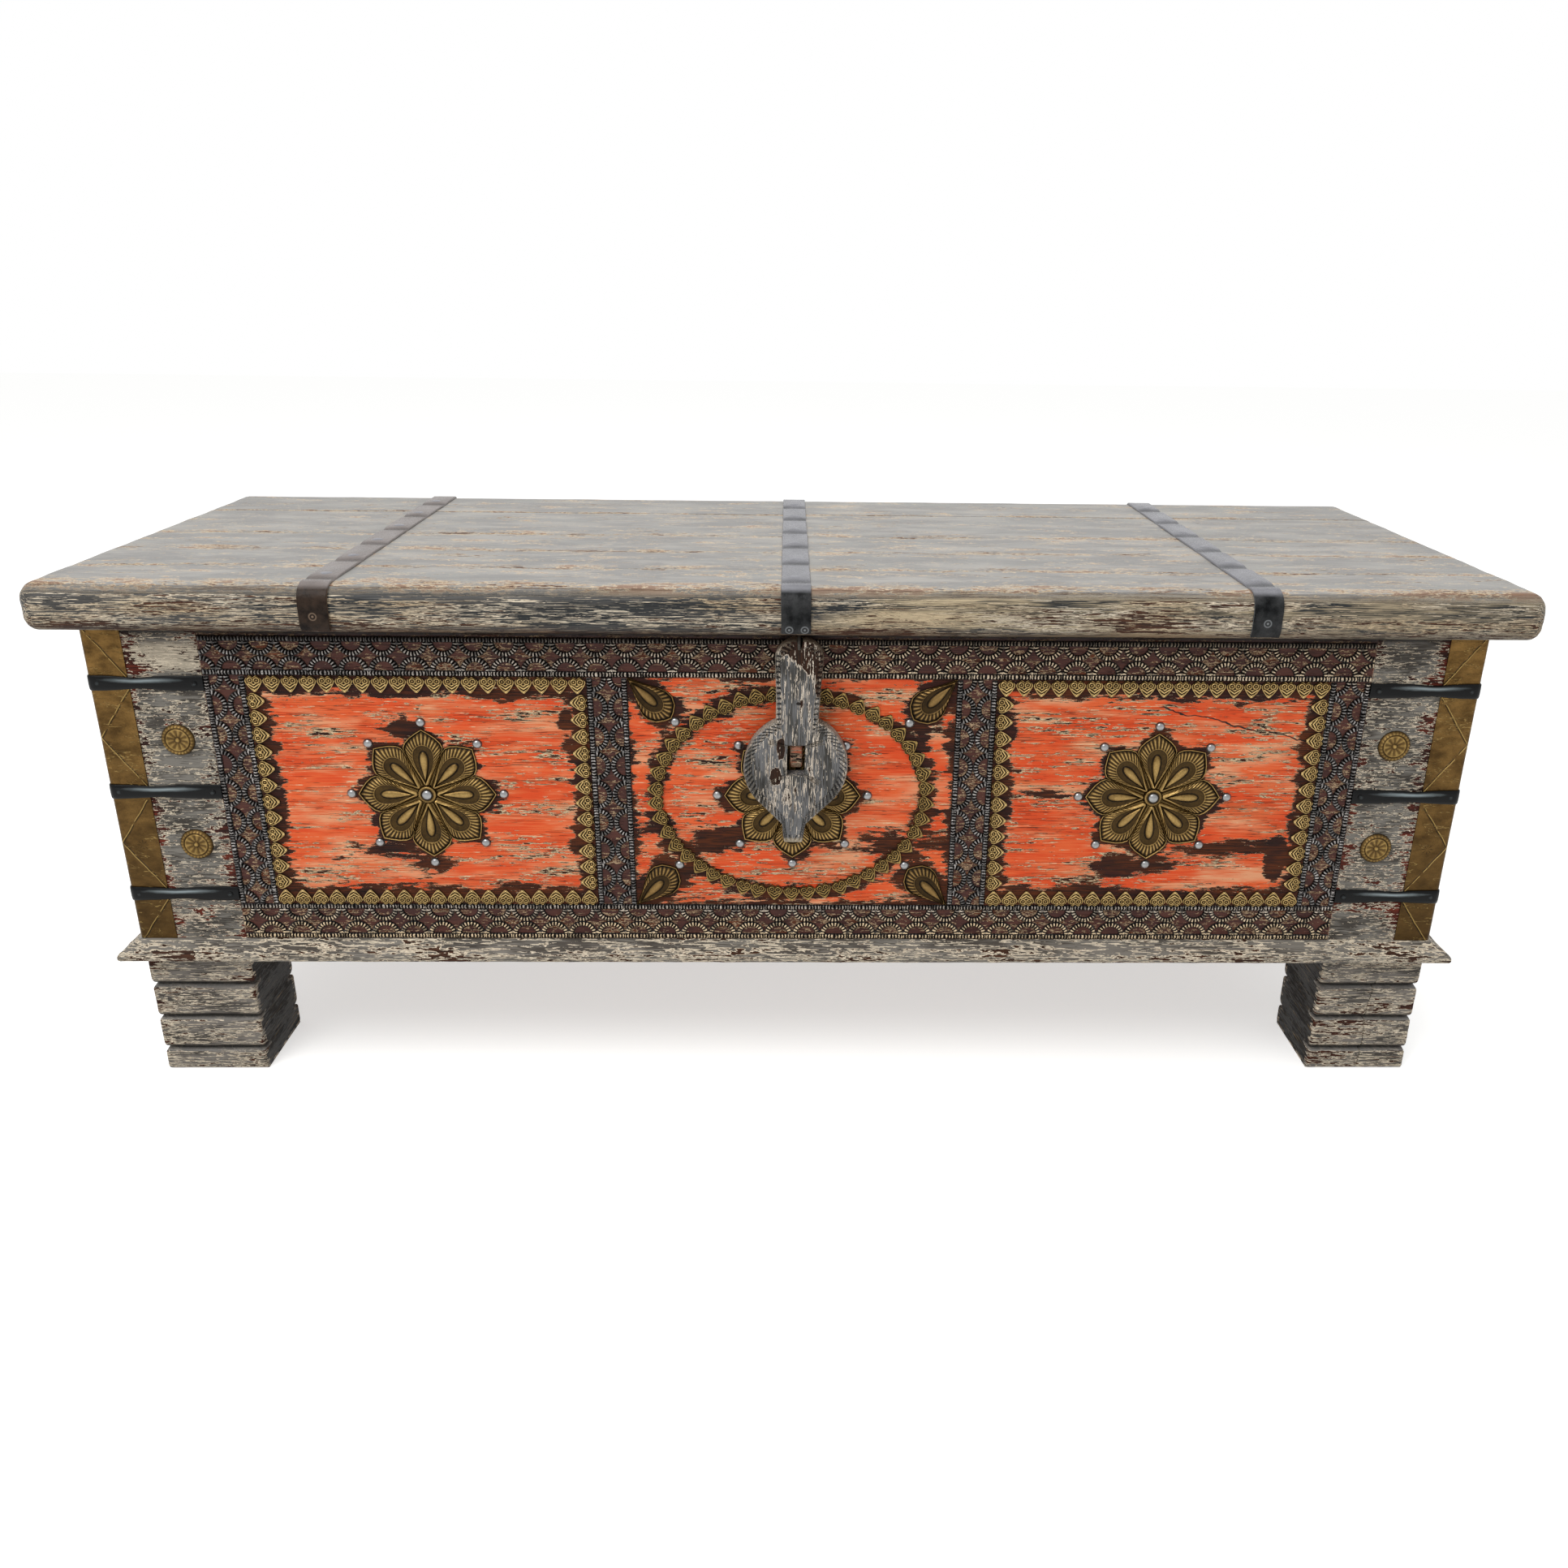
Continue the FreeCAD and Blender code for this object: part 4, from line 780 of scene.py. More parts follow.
def lid_material():
    """Grey paint, rubbed at the rims and in bands along the planks, over bare wood underneath."""
    material, tree, shader = new_material("lid paint")
    place = object_place(tree)
    x, y, z = axes(place)
    drift = (noise(place, (150, 26, 26), 3.0, 0.6) - 0.5) * (30 * MM)
    joint = lowest(*[ramp(abs(y + drift - depth * MM), 1 * MM, reach * MM)
                     for depth, reach in WORN_BANDS])
    rim = ramp(attribute(tree, "relief"), 0.1, 0.9)
    top = ramp(z, (LID_HIGH - 7) * MM, (LID_HIGH - 1.5) * MM)
    cloud = noise(place, (120, 26, 26), 3.0, 0.6)
    wear = (1.0 - joint) * top * 0.36 + rim * 0.1 - top * 0.3 + 0.02
    creamy = ramp(x + (cloud - 0.5) * 0.3, 0.02, 0.06) * (1.0 - ramp(x, 0.36, 0.42) * 0.35)
    dark_part = ramp(x + (cloud - 0.5) * 0.2, -0.33, -0.28) * ramp(x, 0.0, -0.03)
    shoulder = ramp(z, (LID_LOW + 14) * MM, (LID_LOW + 24) * MM)
    wear = wear + (0.03 - dark_part * 0.13 - shoulder * 0.18) * (1.0 - top)
    front_paint = mix(creamy * 0.75, colour("413f3c"), colour("cdb995"))
    # Painted shade: the lower rounding of the front edge darkens to brown and near black towards its foot.
    low_edge = ramp(z, (LID_LOW + 9) * MM, (LID_LOW + 3) * MM)
    stretched = combined(x * (0.6 + top * 0.55), y * (1.5 - top * 0.5), z * 1.5)
    clouded = ramp(cloud, 0.4, 0.6)
    # The top's colours are set lighter and softer than the front's: the same grey paint with painted sheen
    # from the light above.
    top_paint_and_sheen = mix(clouded, colour("95918b"), colour("84837f"))
    front_ground = mix(clouded * 0.55, GREY["Ground"], colour("b3935f"))
    made = use(tree, worn_paint, Place=stretched, Wear=wear, Cracks=0.9 - top * 0.7,
               Scratches=0.75 - top * 0.45, Paint=mix(top, front_paint, top_paint_and_sheen),
               Shade=mix(top, colour("15191b"), colour("7a7875")),
               Ground=mix(top, front_ground, colour("bfb09a")),
               Wood=mix(top, colour("4f2d18"), colour("6c4a38")))
    dots = noise(place, (7, 2.2, 2.2), 3.0, 0.7)
    clumps = noise(place, (70, 16, 16), 3.0, 0.6)
    front_strip = ramp(y, -0.165, -0.19)
    bits = dots + (clumps - 0.5) * 1.1 + (1.0 - joint) * 0.13 + front_strip * 0.07
    flecked = mix(ramp(bits, 0.665, 0.69) * top * 0.8, made["Color"], colour("c9b393"))
    flecked = mix(ramp(bits, 0.74, 0.76) * top * 0.8, flecked, colour("6a4634"))
    # The lower rounding takes the painted shade.
    shown = mix(low_edge * 0.55, flecked, mix(ramp(cloud, 0.45, 0.55), colour("140f0c"), colour("3d2414")))
    inner = use(tree, bare_wood, Place=place, **BARE)
    under = ramp(z, (LID_LOW + 0.4) * MM, (LID_LOW + 0.1) * MM)
    put(shader.inputs["Base Color"], mix(under, shown, inner["Color"]))
    put(shader.inputs["Roughness"], made["Roughness"] - 0.08)
    shader.inputs["Specular IOR Level"].default_value = 0.35
    bump(shader, made["Height"] - made["Height"] * under, 0.4)
    return material


lid_paint = lid_material()
for number in range(1, 5):
    plank(number, 30 + number)

# The lid straps: three flat irons, bent hot over the lid and nailed down with low heads.
# The left one has gone rusty brown, and the others are black.
# Each strap's x at the lid's front edge, and how far it drifts over the lid's depth.
STRAP_PLACES = {"left": (-364.5, -8.0), "middle": (2.8, -5.0), "right": (367.5, 0.0)}
STRAP_WIDTH = 25.0
STRAP_THICKNESS = 2.0
FIRST_NAIL = -170.0
NAIL_PITCH = 68.0


def iron_material(name, base, light, roughness, rust=0.0, top=None, rings=()):
    """Forged iron: dark scale, bright on the ridges, painted lighter on top as painted sheen and left
    darker in the dents as painted shade, with rust in patches.

    Rings are the (x, z) of flat nails in the front edge, seen as a rubbed circle.
    """
    material, tree, shader = new_material(name)
    place = object_place(tree)
    x, y, z = axes(place)
    blotches = noise(place, (14, 14, 14), 4.0, 0.6)
    grit = noise(place, (1.6, 1.6, 1.6), 3.0, 0.6)
    relief = attribute(tree, "relief")
    ridge = ramp(relief + (grit - 0.5) * 0.5, 0.55, 1.0)
    body = mix(ramp(blotches, 0.35, 0.7) * 0.2, colour(base), colour(light))
    body = mix(ridge * 0.6, body, colour(light))
    if top is not None:
        # Painted sheen on the top, weaker where the relief is low, so that the dents behind the nails keep
        # painted shade.
        on_top = ramp(z, (LID_HIGH - 3) * MM, LID_HIGH * MM)
        top_sheen = lowest(relief * 1.6 + 0.35 + (blotches - 0.5) * 0.5, 1.0)
        body = mix(on_top * top_sheen, body, colour(top))
    for across, level in rings:
        away = length_of(x - across * MM, z - level * MM)
        rubbed = highest(ramp(abs(away - 2.7 * MM), 0.7 * MM, 0.3 * MM) * 0.7,
                         ramp(away, 1.1 * MM, 0.7 * MM))
        body = mix(rubbed * ramp(y, -0.2, -0.204), body, colour(light))
    rusted = ramp(blotches + (grit - 0.5) * 0.4, 0.45, 0.6) * rust
    put(shader.inputs["Base Color"], mix(rusted, body, colour("3a2216")))
    put(shader.inputs["Roughness"], roughness + (grit - 0.5) * 0.3 + (blotches - 0.5) * 0.2)
    shader.inputs["Metallic"].default_value = 0.05
    shader.inputs["Specular IOR Level"].default_value = 0.09
    bump(shader, grit + blotches, 0.25)
    return material


def strap_path():
    """(depth, height) along the lid's outline, from under its front edge to low on its back."""
    start, low, high, back = -LID_HALF_DEPTH, LID_LOW, LID_HIGH, LID_HALF_DEPTH
    return evenly(np.concatenate([
        arc((start + LOWER_ROUND, low + LOWER_ROUND), LOWER_ROUND, 218, 180, 8),
        arc((start + UPPER_ROUND, high - UPPER_ROUND), UPPER_ROUND, 180, 90, 12),
        np.array([[back - 1.0, high], [back - 0.3, high - 0.3], [back, high - 1.0],
                  [back, low + 12.0]])]), 2.5)


def bar_section(width, thickness, count=9):
    """(across, up) round a flat bar with eased edges, closed."""
    across = np.linspace(-1, 1, count) * (width / 2 - 0.5)
    top = np.stack([across, np.full(count, thickness)], -1)
    sides = np.array([[width / 2, thickness - 0.6], [width / 2, 0.0]])
    return np.concatenate([top, sides, sides[::-1] * (-1, 1)])


def lid_strap(name, x, skew, material, seed):
    """The bar's section carried along the path; hammering makes its top and edges uneven.

    Between the nails a bell curve lifts the bar, and a narrow one dents it behind each nail.
    """
    path = strap_path()
    outward = normals_of(path)
    section = bar_section(STRAP_WIDTH, STRAP_THICKNESS)
    run = np.arange(len(path))[:, None] * 2.5
    rough = waves(run / 17, section[:, 0] / 8, seed)
    from_nail = (path[:, :1] - FIRST_NAIL + NAIL_PITCH / 2) % NAIL_PITCH - NAIL_PITCH / 2
    on_top = (path[:, 1:] > LID_HIGH - 5) * (path[:, :1] > -190)
    bulge = np.exp(-((from_nail - 6) / 20) ** 2) * on_top
    dip = np.exp(-((from_nail + 15) / 6) ** 2) * on_top
    crown = 1 - (section[:, 0] / (STRAP_WIDTH / 2)) ** 2
    hammered = bulge * crown * 1.1 - dip * 1.2 - 0.15 * (1 + rough) - 0.2
    lift = section[:, 1] + (section[:, 1] > 0) * hammered
    lift = np.maximum(lift, -0.4)
    section = section * (0.94, 1.0)
    across = section[:, 0] * (1 + 0.025 * waves(run / 23, 0 * run, seed + 1)) - np.sign(section[:, 0]) * 0.3
    drift = skew * (path[:, :1] + LID_HALF_DEPTH) / (2 * LID_HALF_DEPTH)
    points = np.stack([x + drift + across, path[:, :1] + outward[:, :1] * lift,
                       path[:, 1:] + outward[:, 1:] * lift], -1)
    edge = (np.abs(section[:, 0]) > STRAP_WIDTH / 2 - 0.9) * 1.0
    shape = Shape()
    # Relief drops in the dent behind each nail, where the iron's colour gives painted shade.
    shape.grid(points, np.clip(0.3 + 0.1 * rough + 0.55 * edge - 0.35 * dip, 0, 1))
    shape.piece(name, material, "lid", "black_iron", name)


def dome(radius, height, flange=0.25, count=14):
    """A nail head drawn as (across, up, out): rings that close over the top."""
    turn = np.linspace(0, 2 * np.pi, count, endpoint=False)
    rise = np.linspace(0, np.pi / 2 * 0.93, 6)
    rings = np.concatenate([[radius, radius], radius * 0.94 * np.cos(rise)])
    out = np.concatenate([[-0.4, flange], flange + (height - flange) * np.sin(rise)])
    points = np.stack([rings[:, None] * np.cos(turn), rings[:, None] * np.sin(turn),
                       out[:, None] + 0 * turn], -1)
    shape = Shape()
    shape.grid(points, np.linspace(0, 1, len(rings))[:, None])
    return shape


rusty_iron = iron_material("rusty strap", "120b08", "7d6a5a", 0.3, rust=0.15, top="817a77",
                           rings=((-365.0, 427.0),))
black_iron = iron_material("black strap", "060708", "7f8284", 0.25, rust=0.05, top="7b7b80",
                           rings=((-2.5, 419.0), (9.5, 419.0), (367.5, 427.0)))
for number, (name, (x, skew)) in enumerate(STRAP_PLACES.items()):
    lid_strap("lid_strap_" + name, x, skew, rusty_iron if name == "left" else black_iron, 50 + number)
heads = Shape()
for number, (x, skew) in enumerate(STRAP_PLACES.values()):
    for step, y in enumerate(np.arange(FIRST_NAIL, 1 - FIRST_NAIL, NAIL_PITCH)):
        head = dome(6.0, 1.6)
        points = head.points[0]
        squash = 1 + 0.12 * np.sin(3 * np.arctan2(points[:, 1], points[:, 0]) + number + step)
        drift = skew * (y / (2 * LID_HALF_DEPTH) + 0.5)
        head.points[0] = np.stack([x + drift + points[:, 0] * squash, y + points[:, 1] * squash * 0.9,
                                   LID_HIGH + 1.5 + points[:, 2]], -1)
        heads.join(head)
heads.piece("lid_strap_nails", black_iron, "lid", "black_iron", "lid_strap_nails")

# The hinges: two steel butts, let into the back board and the lid, with loose pins. They are
# machine-made plates, plain and a little dull.
steel, steel_tree, steel_shader = new_material("hinge steel")
steel_noise = noise(object_place(steel_tree), (5, 5, 5), 4.0, 0.6)
put(steel_shader.inputs["Base Color"], mix(steel_noise, colour("8b8780"), colour("5d5a55")))
put(steel_shader.inputs["Roughness"], 0.3 + steel_noise * 0.3)
steel_shader.inputs["Metallic"].default_value = 1.0
for side in ("left", "right"):
    dress(steel, "hinge_lower_leaf_" + side, "hinge_upper_leaf_" + side, "hinge_pin_" + side)

# The corner plates: thin sheet brass bent round the front corners, scratched with a zigzag
# and punched with a line of dots along its edge, and gone dull and olive.
PLATE_LOW = 134.0
PLATE_WIDTH = 33.0
STRAP_PITCH = 93.5
STRAP_LOW = 177.0


def plate_material():
    """Dull brass: blotches, a scratched zigzag that is dark on one side, a star, and level creases."""
    material, tree, shader = new_material("corner brass")
    place = object_place(tree)
    x, y, z = axes(place)
    reach = highest(HALF_LENGTH * MM - abs(x), y - FRONT * MM)
    bay = (z - STRAP_LOW * MM) / (STRAP_PITCH * MM)
    turn = abs(math_node("FRACT", bay + 10.0) * 2.0 - 1.0)
    wobble = (noise(place, (14, 14, 14), 2.0, 0.5) - 0.5) * (2.4 * MM)
    from_line = reach - turn * (PLATE_WIDTH * MM) + wobble
    broken = ramp(noise(place, (9, 9, 7), 2.0, 0.5), 0.36, 0.42)
    line = ramp(abs(from_line), 0.8 * MM, 0.35 * MM) * broken
    shadow = ramp(abs(from_line - 1.0 * MM), 0.9 * MM, 0.4 * MM) * broken
    up = z - 222 * MM
    rays = abs(math_node("FRACT", math_node("ARCTAN2", up, reach - 17 * MM) / (np.pi / 4) + 8.0) - 0.5)
    star = ramp(length_of(reach - 17 * MM, up), 5 * MM, 4 * MM) * ramp(rays, 0.36, 0.44)
    creases = noise(place, (40, 40, 7), 3.0, 0.6)
    crease = ramp(abs(creases - 0.56), 0.012, 0.004)
    blotches = noise(place, (20, 20, 12), 5.0, 0.65)
    grit = noise(place, (1.4, 1.4, 1.0), 3.0, 0.6)
    brass = mix(ramp(blotches, 0.34, 0.66), colour("7d5f33"), colour("4b3618"))
    brass = mix(ramp(z, 0.4, 0.14) * 0.75, brass, colour("33240f"))
    brass = mix(ramp(grit, 0.55, 0.7) * 0.45, brass, colour("33270f"))
    brass = mix(highest(shadow * 0.7, star * 0.8), brass, colour("1f170a"))
    put(shader.inputs["Base Color"], mix(highest(line * 0.75, crease * 0.4), brass, colour("ac8f55")))
    put(shader.inputs["Roughness"], 0.4 + (blotches - 0.5) * 0.35 + (grit - 0.5) * 0.3)
    shader.inputs["Metallic"].default_value = 0.9
    bump(shader, blotches * 0.5 + line - shadow * 0.6 + crease * 0.6 + grit * 0.15, 0.6)
    return material


def bent_path(leg, offset, radius, side):
    """(x, y) from the front leg's end, round the corner and to the other leg's end."""
    corner = np.array([side * HALF_LENGTH, FRONT])
    centre = (radius - offset, radius - offset)
    local = np.concatenate([[[leg, -offset]], arc(centre, radius, 270, 180, 7), [[-offset, leg]]])
    return corner + evenly(local, 2.0) * (-side, 1)


def corner_plate(name, side, seed):
    """The bent sheet as a closed section, carried up the corner and dented a little."""
    outer = bent_path(PLATE_WIDTH - 2.5, 0.9, 2.2, side)
    inner = bent_path(PLATE_WIDTH - 2.5, 0.0, 1.3, side)[::-1]
    section = np.concatenate([outer, inner])
    heights = np.linspace(PLATE_LOW, WALL_TOP - 0.3, 90)[:, None]
    rough = waves(heights / 16, np.arange(len(section)) / 3.0, seed)
    lift = np.concatenate([np.full(len(outer), 0.12), np.zeros(len(inner))]) * rough
    middle = np.array([side * (HALF_LENGTH - 20), FRONT + 20])
    away = section - middle
    away = away / np.linalg.norm(away, axis=1, keepdims=True)
    points = np.stack([section[:, 0] + away[:, 0] * lift, section[:, 1] + away[:, 1] * lift,
                       heights + 0 * lift], -1)
    shape = Shape()
    shape.grid(points, np.clip(0.4 + 0.3 * rough, 0, 1))
    shape.piece(name, plate_brass, "chest", "aged_brass", name)


plate_brass = plate_material()
corner_plate("corner_plate_left", -1, 60)
corner_plate("corner_plate_right", 1, 61)

# The corner straps: flat irons bent round each corner over the brass, drawn in at the waist of each leg,
# with a nail near both ends. They are smooth and dark, with a painted highlight along the upper part of
# each leg.
STRAP_LEG = 90.0


def corner_straps(name, side, seed):
    """Each strap is a rounded section carried round the corner; its height follows the waist."""
    shape = Shape()
    for row in range(3):
        low = bent_path(STRAP_LEG, 1.05, 2.4, side)
        outward = normals_of(low) * -side
        steps = run_along(low)
        from_corner = np.abs(steps - steps[-1] / 2)
        waist = np.exp(-(((from_corner - 40) / 15) ** 2))
        half = 6.1 - 1.6 * waist + 0.15 * np.sin(steps / 7 + row)
        settle = np.clip((from_corner - 36) / 12, 0, 1) * 0.75
        share = np.array([-1, -1, -0.86, -0.5, 0, 0.5, 0.86, 1, 1])
        rise = np.array([0, 1.2, 1.85, 2.1, 2.2, 2.1, 1.85, 1.2, 0])
        flat = 1 - 0.8 * np.clip((steps - steps[-1] / 2 + 3) / 6, 0, 1)[:, None]
        rough = waves(steps[:, None] / 12, share * 2, seed + row)
        lift = (rise + 0.08 * rough * (rise > 0) - settle[:, None]) * flat
        height = STRAP_LOW + row * STRAP_PITCH + half[:, None] * share
        points = np.stack([low[:, :1] + outward[:, :1] * lift, low[:, 1:] + outward[:, 1:] * lift,
                           height], -1)
        # A painted highlight: a light band along the upper half of each leg, strongest partway along,
        # carried in the relief.
        painted_highlight = np.exp(-((from_corner - 42) / 26) ** 2)[:, None] * np.exp(-((share - 0.45) / 0.3) ** 2)
        shape.grid(points, painted_highlight * (rise > 0) + 0 * height)
    shape.piece(name, strap_iron, "chest", "black_iron", name)


strap_iron, strap_tree, strap_shader = new_material("corner strap")
strap_grit = noise(object_place(strap_tree), (6, 6, 1.6), 3.0, 0.6)
# The painted highlight turns the dark iron light grey and more metallic.
strap_painted_highlight = ramp(attribute(strap_tree, "relief") + (strap_grit - 0.5) * 0.25, 0.15, 0.9)
put(strap_shader.inputs["Base Color"], mix(strap_painted_highlight, colour("070809"), colour("848e91")))
put(strap_shader.inputs["Roughness"], 0.24 + strap_grit * 0.2)
put(strap_shader.inputs["Metallic"], strap_painted_highlight * 0.6)
strap_shader.inputs["Specular IOR Level"].default_value = 0.15
bump(strap_shader, strap_grit, 0.1)
corner_straps("corner_straps_left", -1, 70)
corner_straps("corner_straps_right", 1, 75)
strap_nails = dome(2.4, 0.9, count=10)
strap_nails.points[0][:, 2] += 2.6
strap_nails.relief[0] = strap_nails.relief[0] * 0.25
nail_places = [(side * (HALF_LENGTH - inset), STRAP_LOW + row * STRAP_PITCH, 0.0)
               for side in (-1, 1) for row in range(3) for inset in (7.0, 83.0)]
strap_nails.on_front(nail_places).piece("corner_strap_nails", strap_iron, "chest", "black_iron",
                                        "corner_strap_nails")

# The fretwork: pierced iron strips. Ribbed bands run along both edges, and between them two
# rows of ribbed arcs face each other, with half moons and diamonds left open to the wood.
FRET_WIDTH = 33.0
FRET_PITCH = 24.0
RIB = 2.6


def ribbed_band(path, width, slant=0.0):
    """A band carried along a path. Every third row is a valley, and slant bows the ribs."""
    normal = normals_of(path)
    run = np.stack([normal[:, 1], -normal[:, 0]], -1)
    offset = np.array([-1, -1, -0.62, 0, 0.62, 1, 1])
    rise = np.array([0, 0.9, 1.6, 1.85, 1.6, 0.9, 0])
    ridge = np.where(np.arange(len(path)) % 3 == 0, 0.1, 1.0)[:, None]
    bow = slant * (1 - offset ** 2)
    flat = (path[:, None] + normal[:, None] * (offset * width / 2)[:, None]
            + run[:, None] * bow[..., None])
    out = rise * np.where(rise > 0, ridge, 1)
    relief = np.where(ridge > 0.5, 1.0, 0.0) * (rise > 1) + 0 * out
    return np.concatenate([flat, out[..., None]], -1), relief


def fret_strip(length):
    """One strip drawn along X from 0, with its middle at up 0."""
    count = int(length // FRET_PITCH)
    pitch = length / count
    shape = Shape()
    steps = np.arange(0, length, RIB / 3)
    edge = FRET_WIDTH / 2 - 2.5
    for level in (-edge, edge):
        path = np.stack([steps, np.full(len(steps), level)], -1)
        bow = 0.8 * np.tanh(4 * np.sin(2 * np.pi * steps / pitch))[:, None]
        shape.grid(*ribbed_band(path, 4.6, bow))
    half = pitch / 2 - 2.1
    for level in (-1, 1):
        for number in range(count + 1):
            first = 0 if number < count else np.pi / 2
            last = np.pi if number > 0 else np.pi / 2
            turn = np.linspace(first, last, 300)
            centre = number * pitch
            curve = np.stack([centre + half * np.cos(turn), level * (edge - 2.0 - 9.8 * np.sin(turn))], -1)
            shape.grid(*ribbed_band(evenly(curve, RIB / 3), 4.4))
    knot = dome(1.9, 1.5, count=8)
    for level in (-1, 1):
        for number in range(count):
            copy = knot.points[0] + ((number + 0.5) * pitch, level * (edge - 3.2), 0)
            shape.add(copy, knot.relief[0], *knot.faces)
    return shape


def fret_material():
    """Black iron with a painted highlight on each rib, and pale dust in places, most along the bottom."""
    material, tree, shader = new_material("fret iron")
    place = object_place(tree)
    x, _, z = axes(place)
    relief = attribute(tree, "relief")
    grit = noise(place, (1.5, 1.5, 1.5), 2.0, 0.5)
    blotches = noise(place, (16, 16, 16), 4.0, 0.65)
    base = mix(ramp(blotches, 0.4, 0.6), colour("060404"), colour("150c0b"))
    tops = ramp(relief + (grit - 0.5) * 1.2, 0.7, 1.0)
    level = highest(ramp(z, 0.17, 0.15), ramp(z, 0.365, 0.375) * ramp(x, -0.4, 0.1) * 0.8)
    specks = noise(place, (5, 5, 5), 3.0, 0.6)
    amount = level * 0.45 + ramp(blotches + level * 0.1, 0.45, 0.6) * 0.5 + 0.5
    amount = amount * (ramp(specks, 0.4, 0.56) * 0.85 + 0.2)
    # Where there is little dust, the pale grey on the rib tops is a painted highlight; where there is much,
    # it is cream dust.
    pale = mix(level, colour("b4afab"), colour("e0c8a4"))
    # Painted shade under the lid takes the pale tops away near the top.
    lid_shade = ramp(z, 0.393, 0.402) * 0.85
    put(shader.inputs["Base Color"], mix(tops * amount * (1.0 - lid_shade), base, pale))
    put(shader.inputs["Roughness"], 0.3 + (grit - 0.5) * 0.3 + level * 0.2)
    shader.inputs["Metallic"].default_value = 0.2
    shader.inputs["Specular IOR Level"].default_value = 0.4
    bump(shader, grit, 0.15)
    return material


fret_iron = fret_material()
upright = PANEL_HIGH - PANEL_LOW
for name, length, x, z, turn in (
        ("fret_top", 2 * STILE, -STILE, PANEL_HIGH + FRET_WIDTH / 2, 0.0),
        ("fret_bottom", 2 * STILE, -STILE, PANEL_LOW - FRET_WIDTH / 2, 0.0),
        ("fret_left", upright, -OUTER_PANEL_OUT - FRET_WIDTH / 2, PANEL_LOW, np.pi / 2),
        ("fret_right", upright, OUTER_PANEL_OUT + FRET_WIDTH / 2, PANEL_LOW, np.pi / 2),
        ("fret_post_left", upright, -(OUTER_PANEL_IN + MIDDLE_PANEL) / 2, PANEL_LOW, np.pi / 2),
        ("fret_post_right", upright, (OUTER_PANEL_IN + MIDDLE_PANEL) / 2, PANEL_LOW, np.pi / 2)):
    fret_strip(length).on_front([(x, z, turn)]).piece(name, fret_iron, "chest", "black_iron", name)

# The heart trim: hearts pressed from thin brass, each with a raised border, two scrolls and
# chevrons, set side by side with their points to the panel, or outwards round the oval.
HEART_PITCH = 13.7
HEART_LENGTH = 14.0


def heart():
    """Drawn from its lobes at up 0 to its point; columns run across and rows run to the point."""
    across = np.linspace(-1, 1, 21)
    along = np.linspace(0, 1, 28)[:, None]
    half = 6.0 * np.where(along < 0.25, 1 - 0.3 * (1 - along / 0.25) ** 2,
                          1 - np.clip((along - 0.25) / 0.75, 0, 1) ** 1.5) + 0.7
    lobes = 2.4 * np.abs(np.abs(across) - 0.5) ** 1.3 * 1.7
    up = lobes * (1 - along) ** 1.5 + (HEART_LENGTH - 0.4) * along
    x = across * half
    rim = half * (1 - np.abs(across))
    border = np.maximum(np.clip(1.35 - rim / 0.9, 0, 1), np.clip(1 - along / 0.08, 0, 1))
    chevron = 0.5 + 0.5 * np.cos(2 * np.pi * (up / 2.5 + np.abs(x) * 0.28))
    chevron = chevron * np.clip((along - 0.42) / 0.06, 0, 1) * (1 - border)
    eye = np.hypot(np.abs(x) - 2.6, up - 3.9)
    scroll = np.exp(-((eye - 2.1) / 0.45) ** 2) + np.exp(-(eye / 0.75) ** 2)
    scroll = scroll * np.clip((0.5 - along) / 0.06, 0, 1) * (1 - border)
    ball = np.exp(-(np.hypot(x, up - HEART_LENGTH + 1.3) / 1.0) ** 2)
    ridge = np.clip(np.maximum(np.maximum(border * 0.85, chevron), np.maximum(scroll, ball)), 0, 1)
    crown = 0.7 * np.sqrt(np.clip(1 - across ** 2 * 0.8, 0, 1))
    out = 0.9 + crown * np.sqrt(np.clip(1 - (along - 0.35) ** 2, 0, 1)) + 0.75 * ridge
    shape = Shape()
    rows, columns = out.shape
    top = np.stack([x, up, out], -1)
    shape.grid(top, ridge, around=False, ends=False)
    loop = np.concatenate([np.arange(columns), np.arange(1, rows) * columns + columns - 1,
                           (rows - 1) * columns + np.arange(columns - 1)[::-1],
                           np.arange(1, rows - 1)[::-1] * columns])
    back_points = top.reshape(-1, 3)[loop] * (1, 1, 0)
    low = np.arange(len(loop)) + rows * columns
    wall = np.stack([loop, np.roll(loop, -1), np.roll(low, -1), low], -1)
    shape.points[0] = np.concatenate([shape.points[0], back_points])
    shape.relief[0] = np.concatenate([shape.relief[0], 0 * back_points[:, 0]])
    shape.faces += [wall, low[None, ::-1]]
    shape.total += len(loop)
    return shape


def brass_material(name, bright="c2a860", middle="5e4a22", dark="0c0805", roughness=0.38):
    """Old brass: bright on the ridges, brown on the slopes and nearly black in the hollows."""
    material, tree, shader = new_material(name)
    place = object_place(tree)
    grit = noise(place, (1.3, 1.3, 1.3), 3.0, 0.6)
    blotches = noise(place, (12, 12, 12), 3.0, 0.6)
    height = attribute(tree, "relief") + (grit - 0.5) * 0.3 + (blotches - 0.5) * 0.3
    body = mix(ramp(height, 0.15, 0.55), colour(dark), colour(middle))
    put(shader.inputs["Base Color"], mix(ramp(height, 0.55, 0.9), body, colour(bright)))
    put(shader.inputs["Roughness"], roughness + 0.15 - ramp(height, 0.3, 0.9) * 0.15 + (grit - 0.5) * 0.2)
    shader.inputs["Metallic"].default_value = 0.85
    bump(shader, grit, 0.12)
    return material


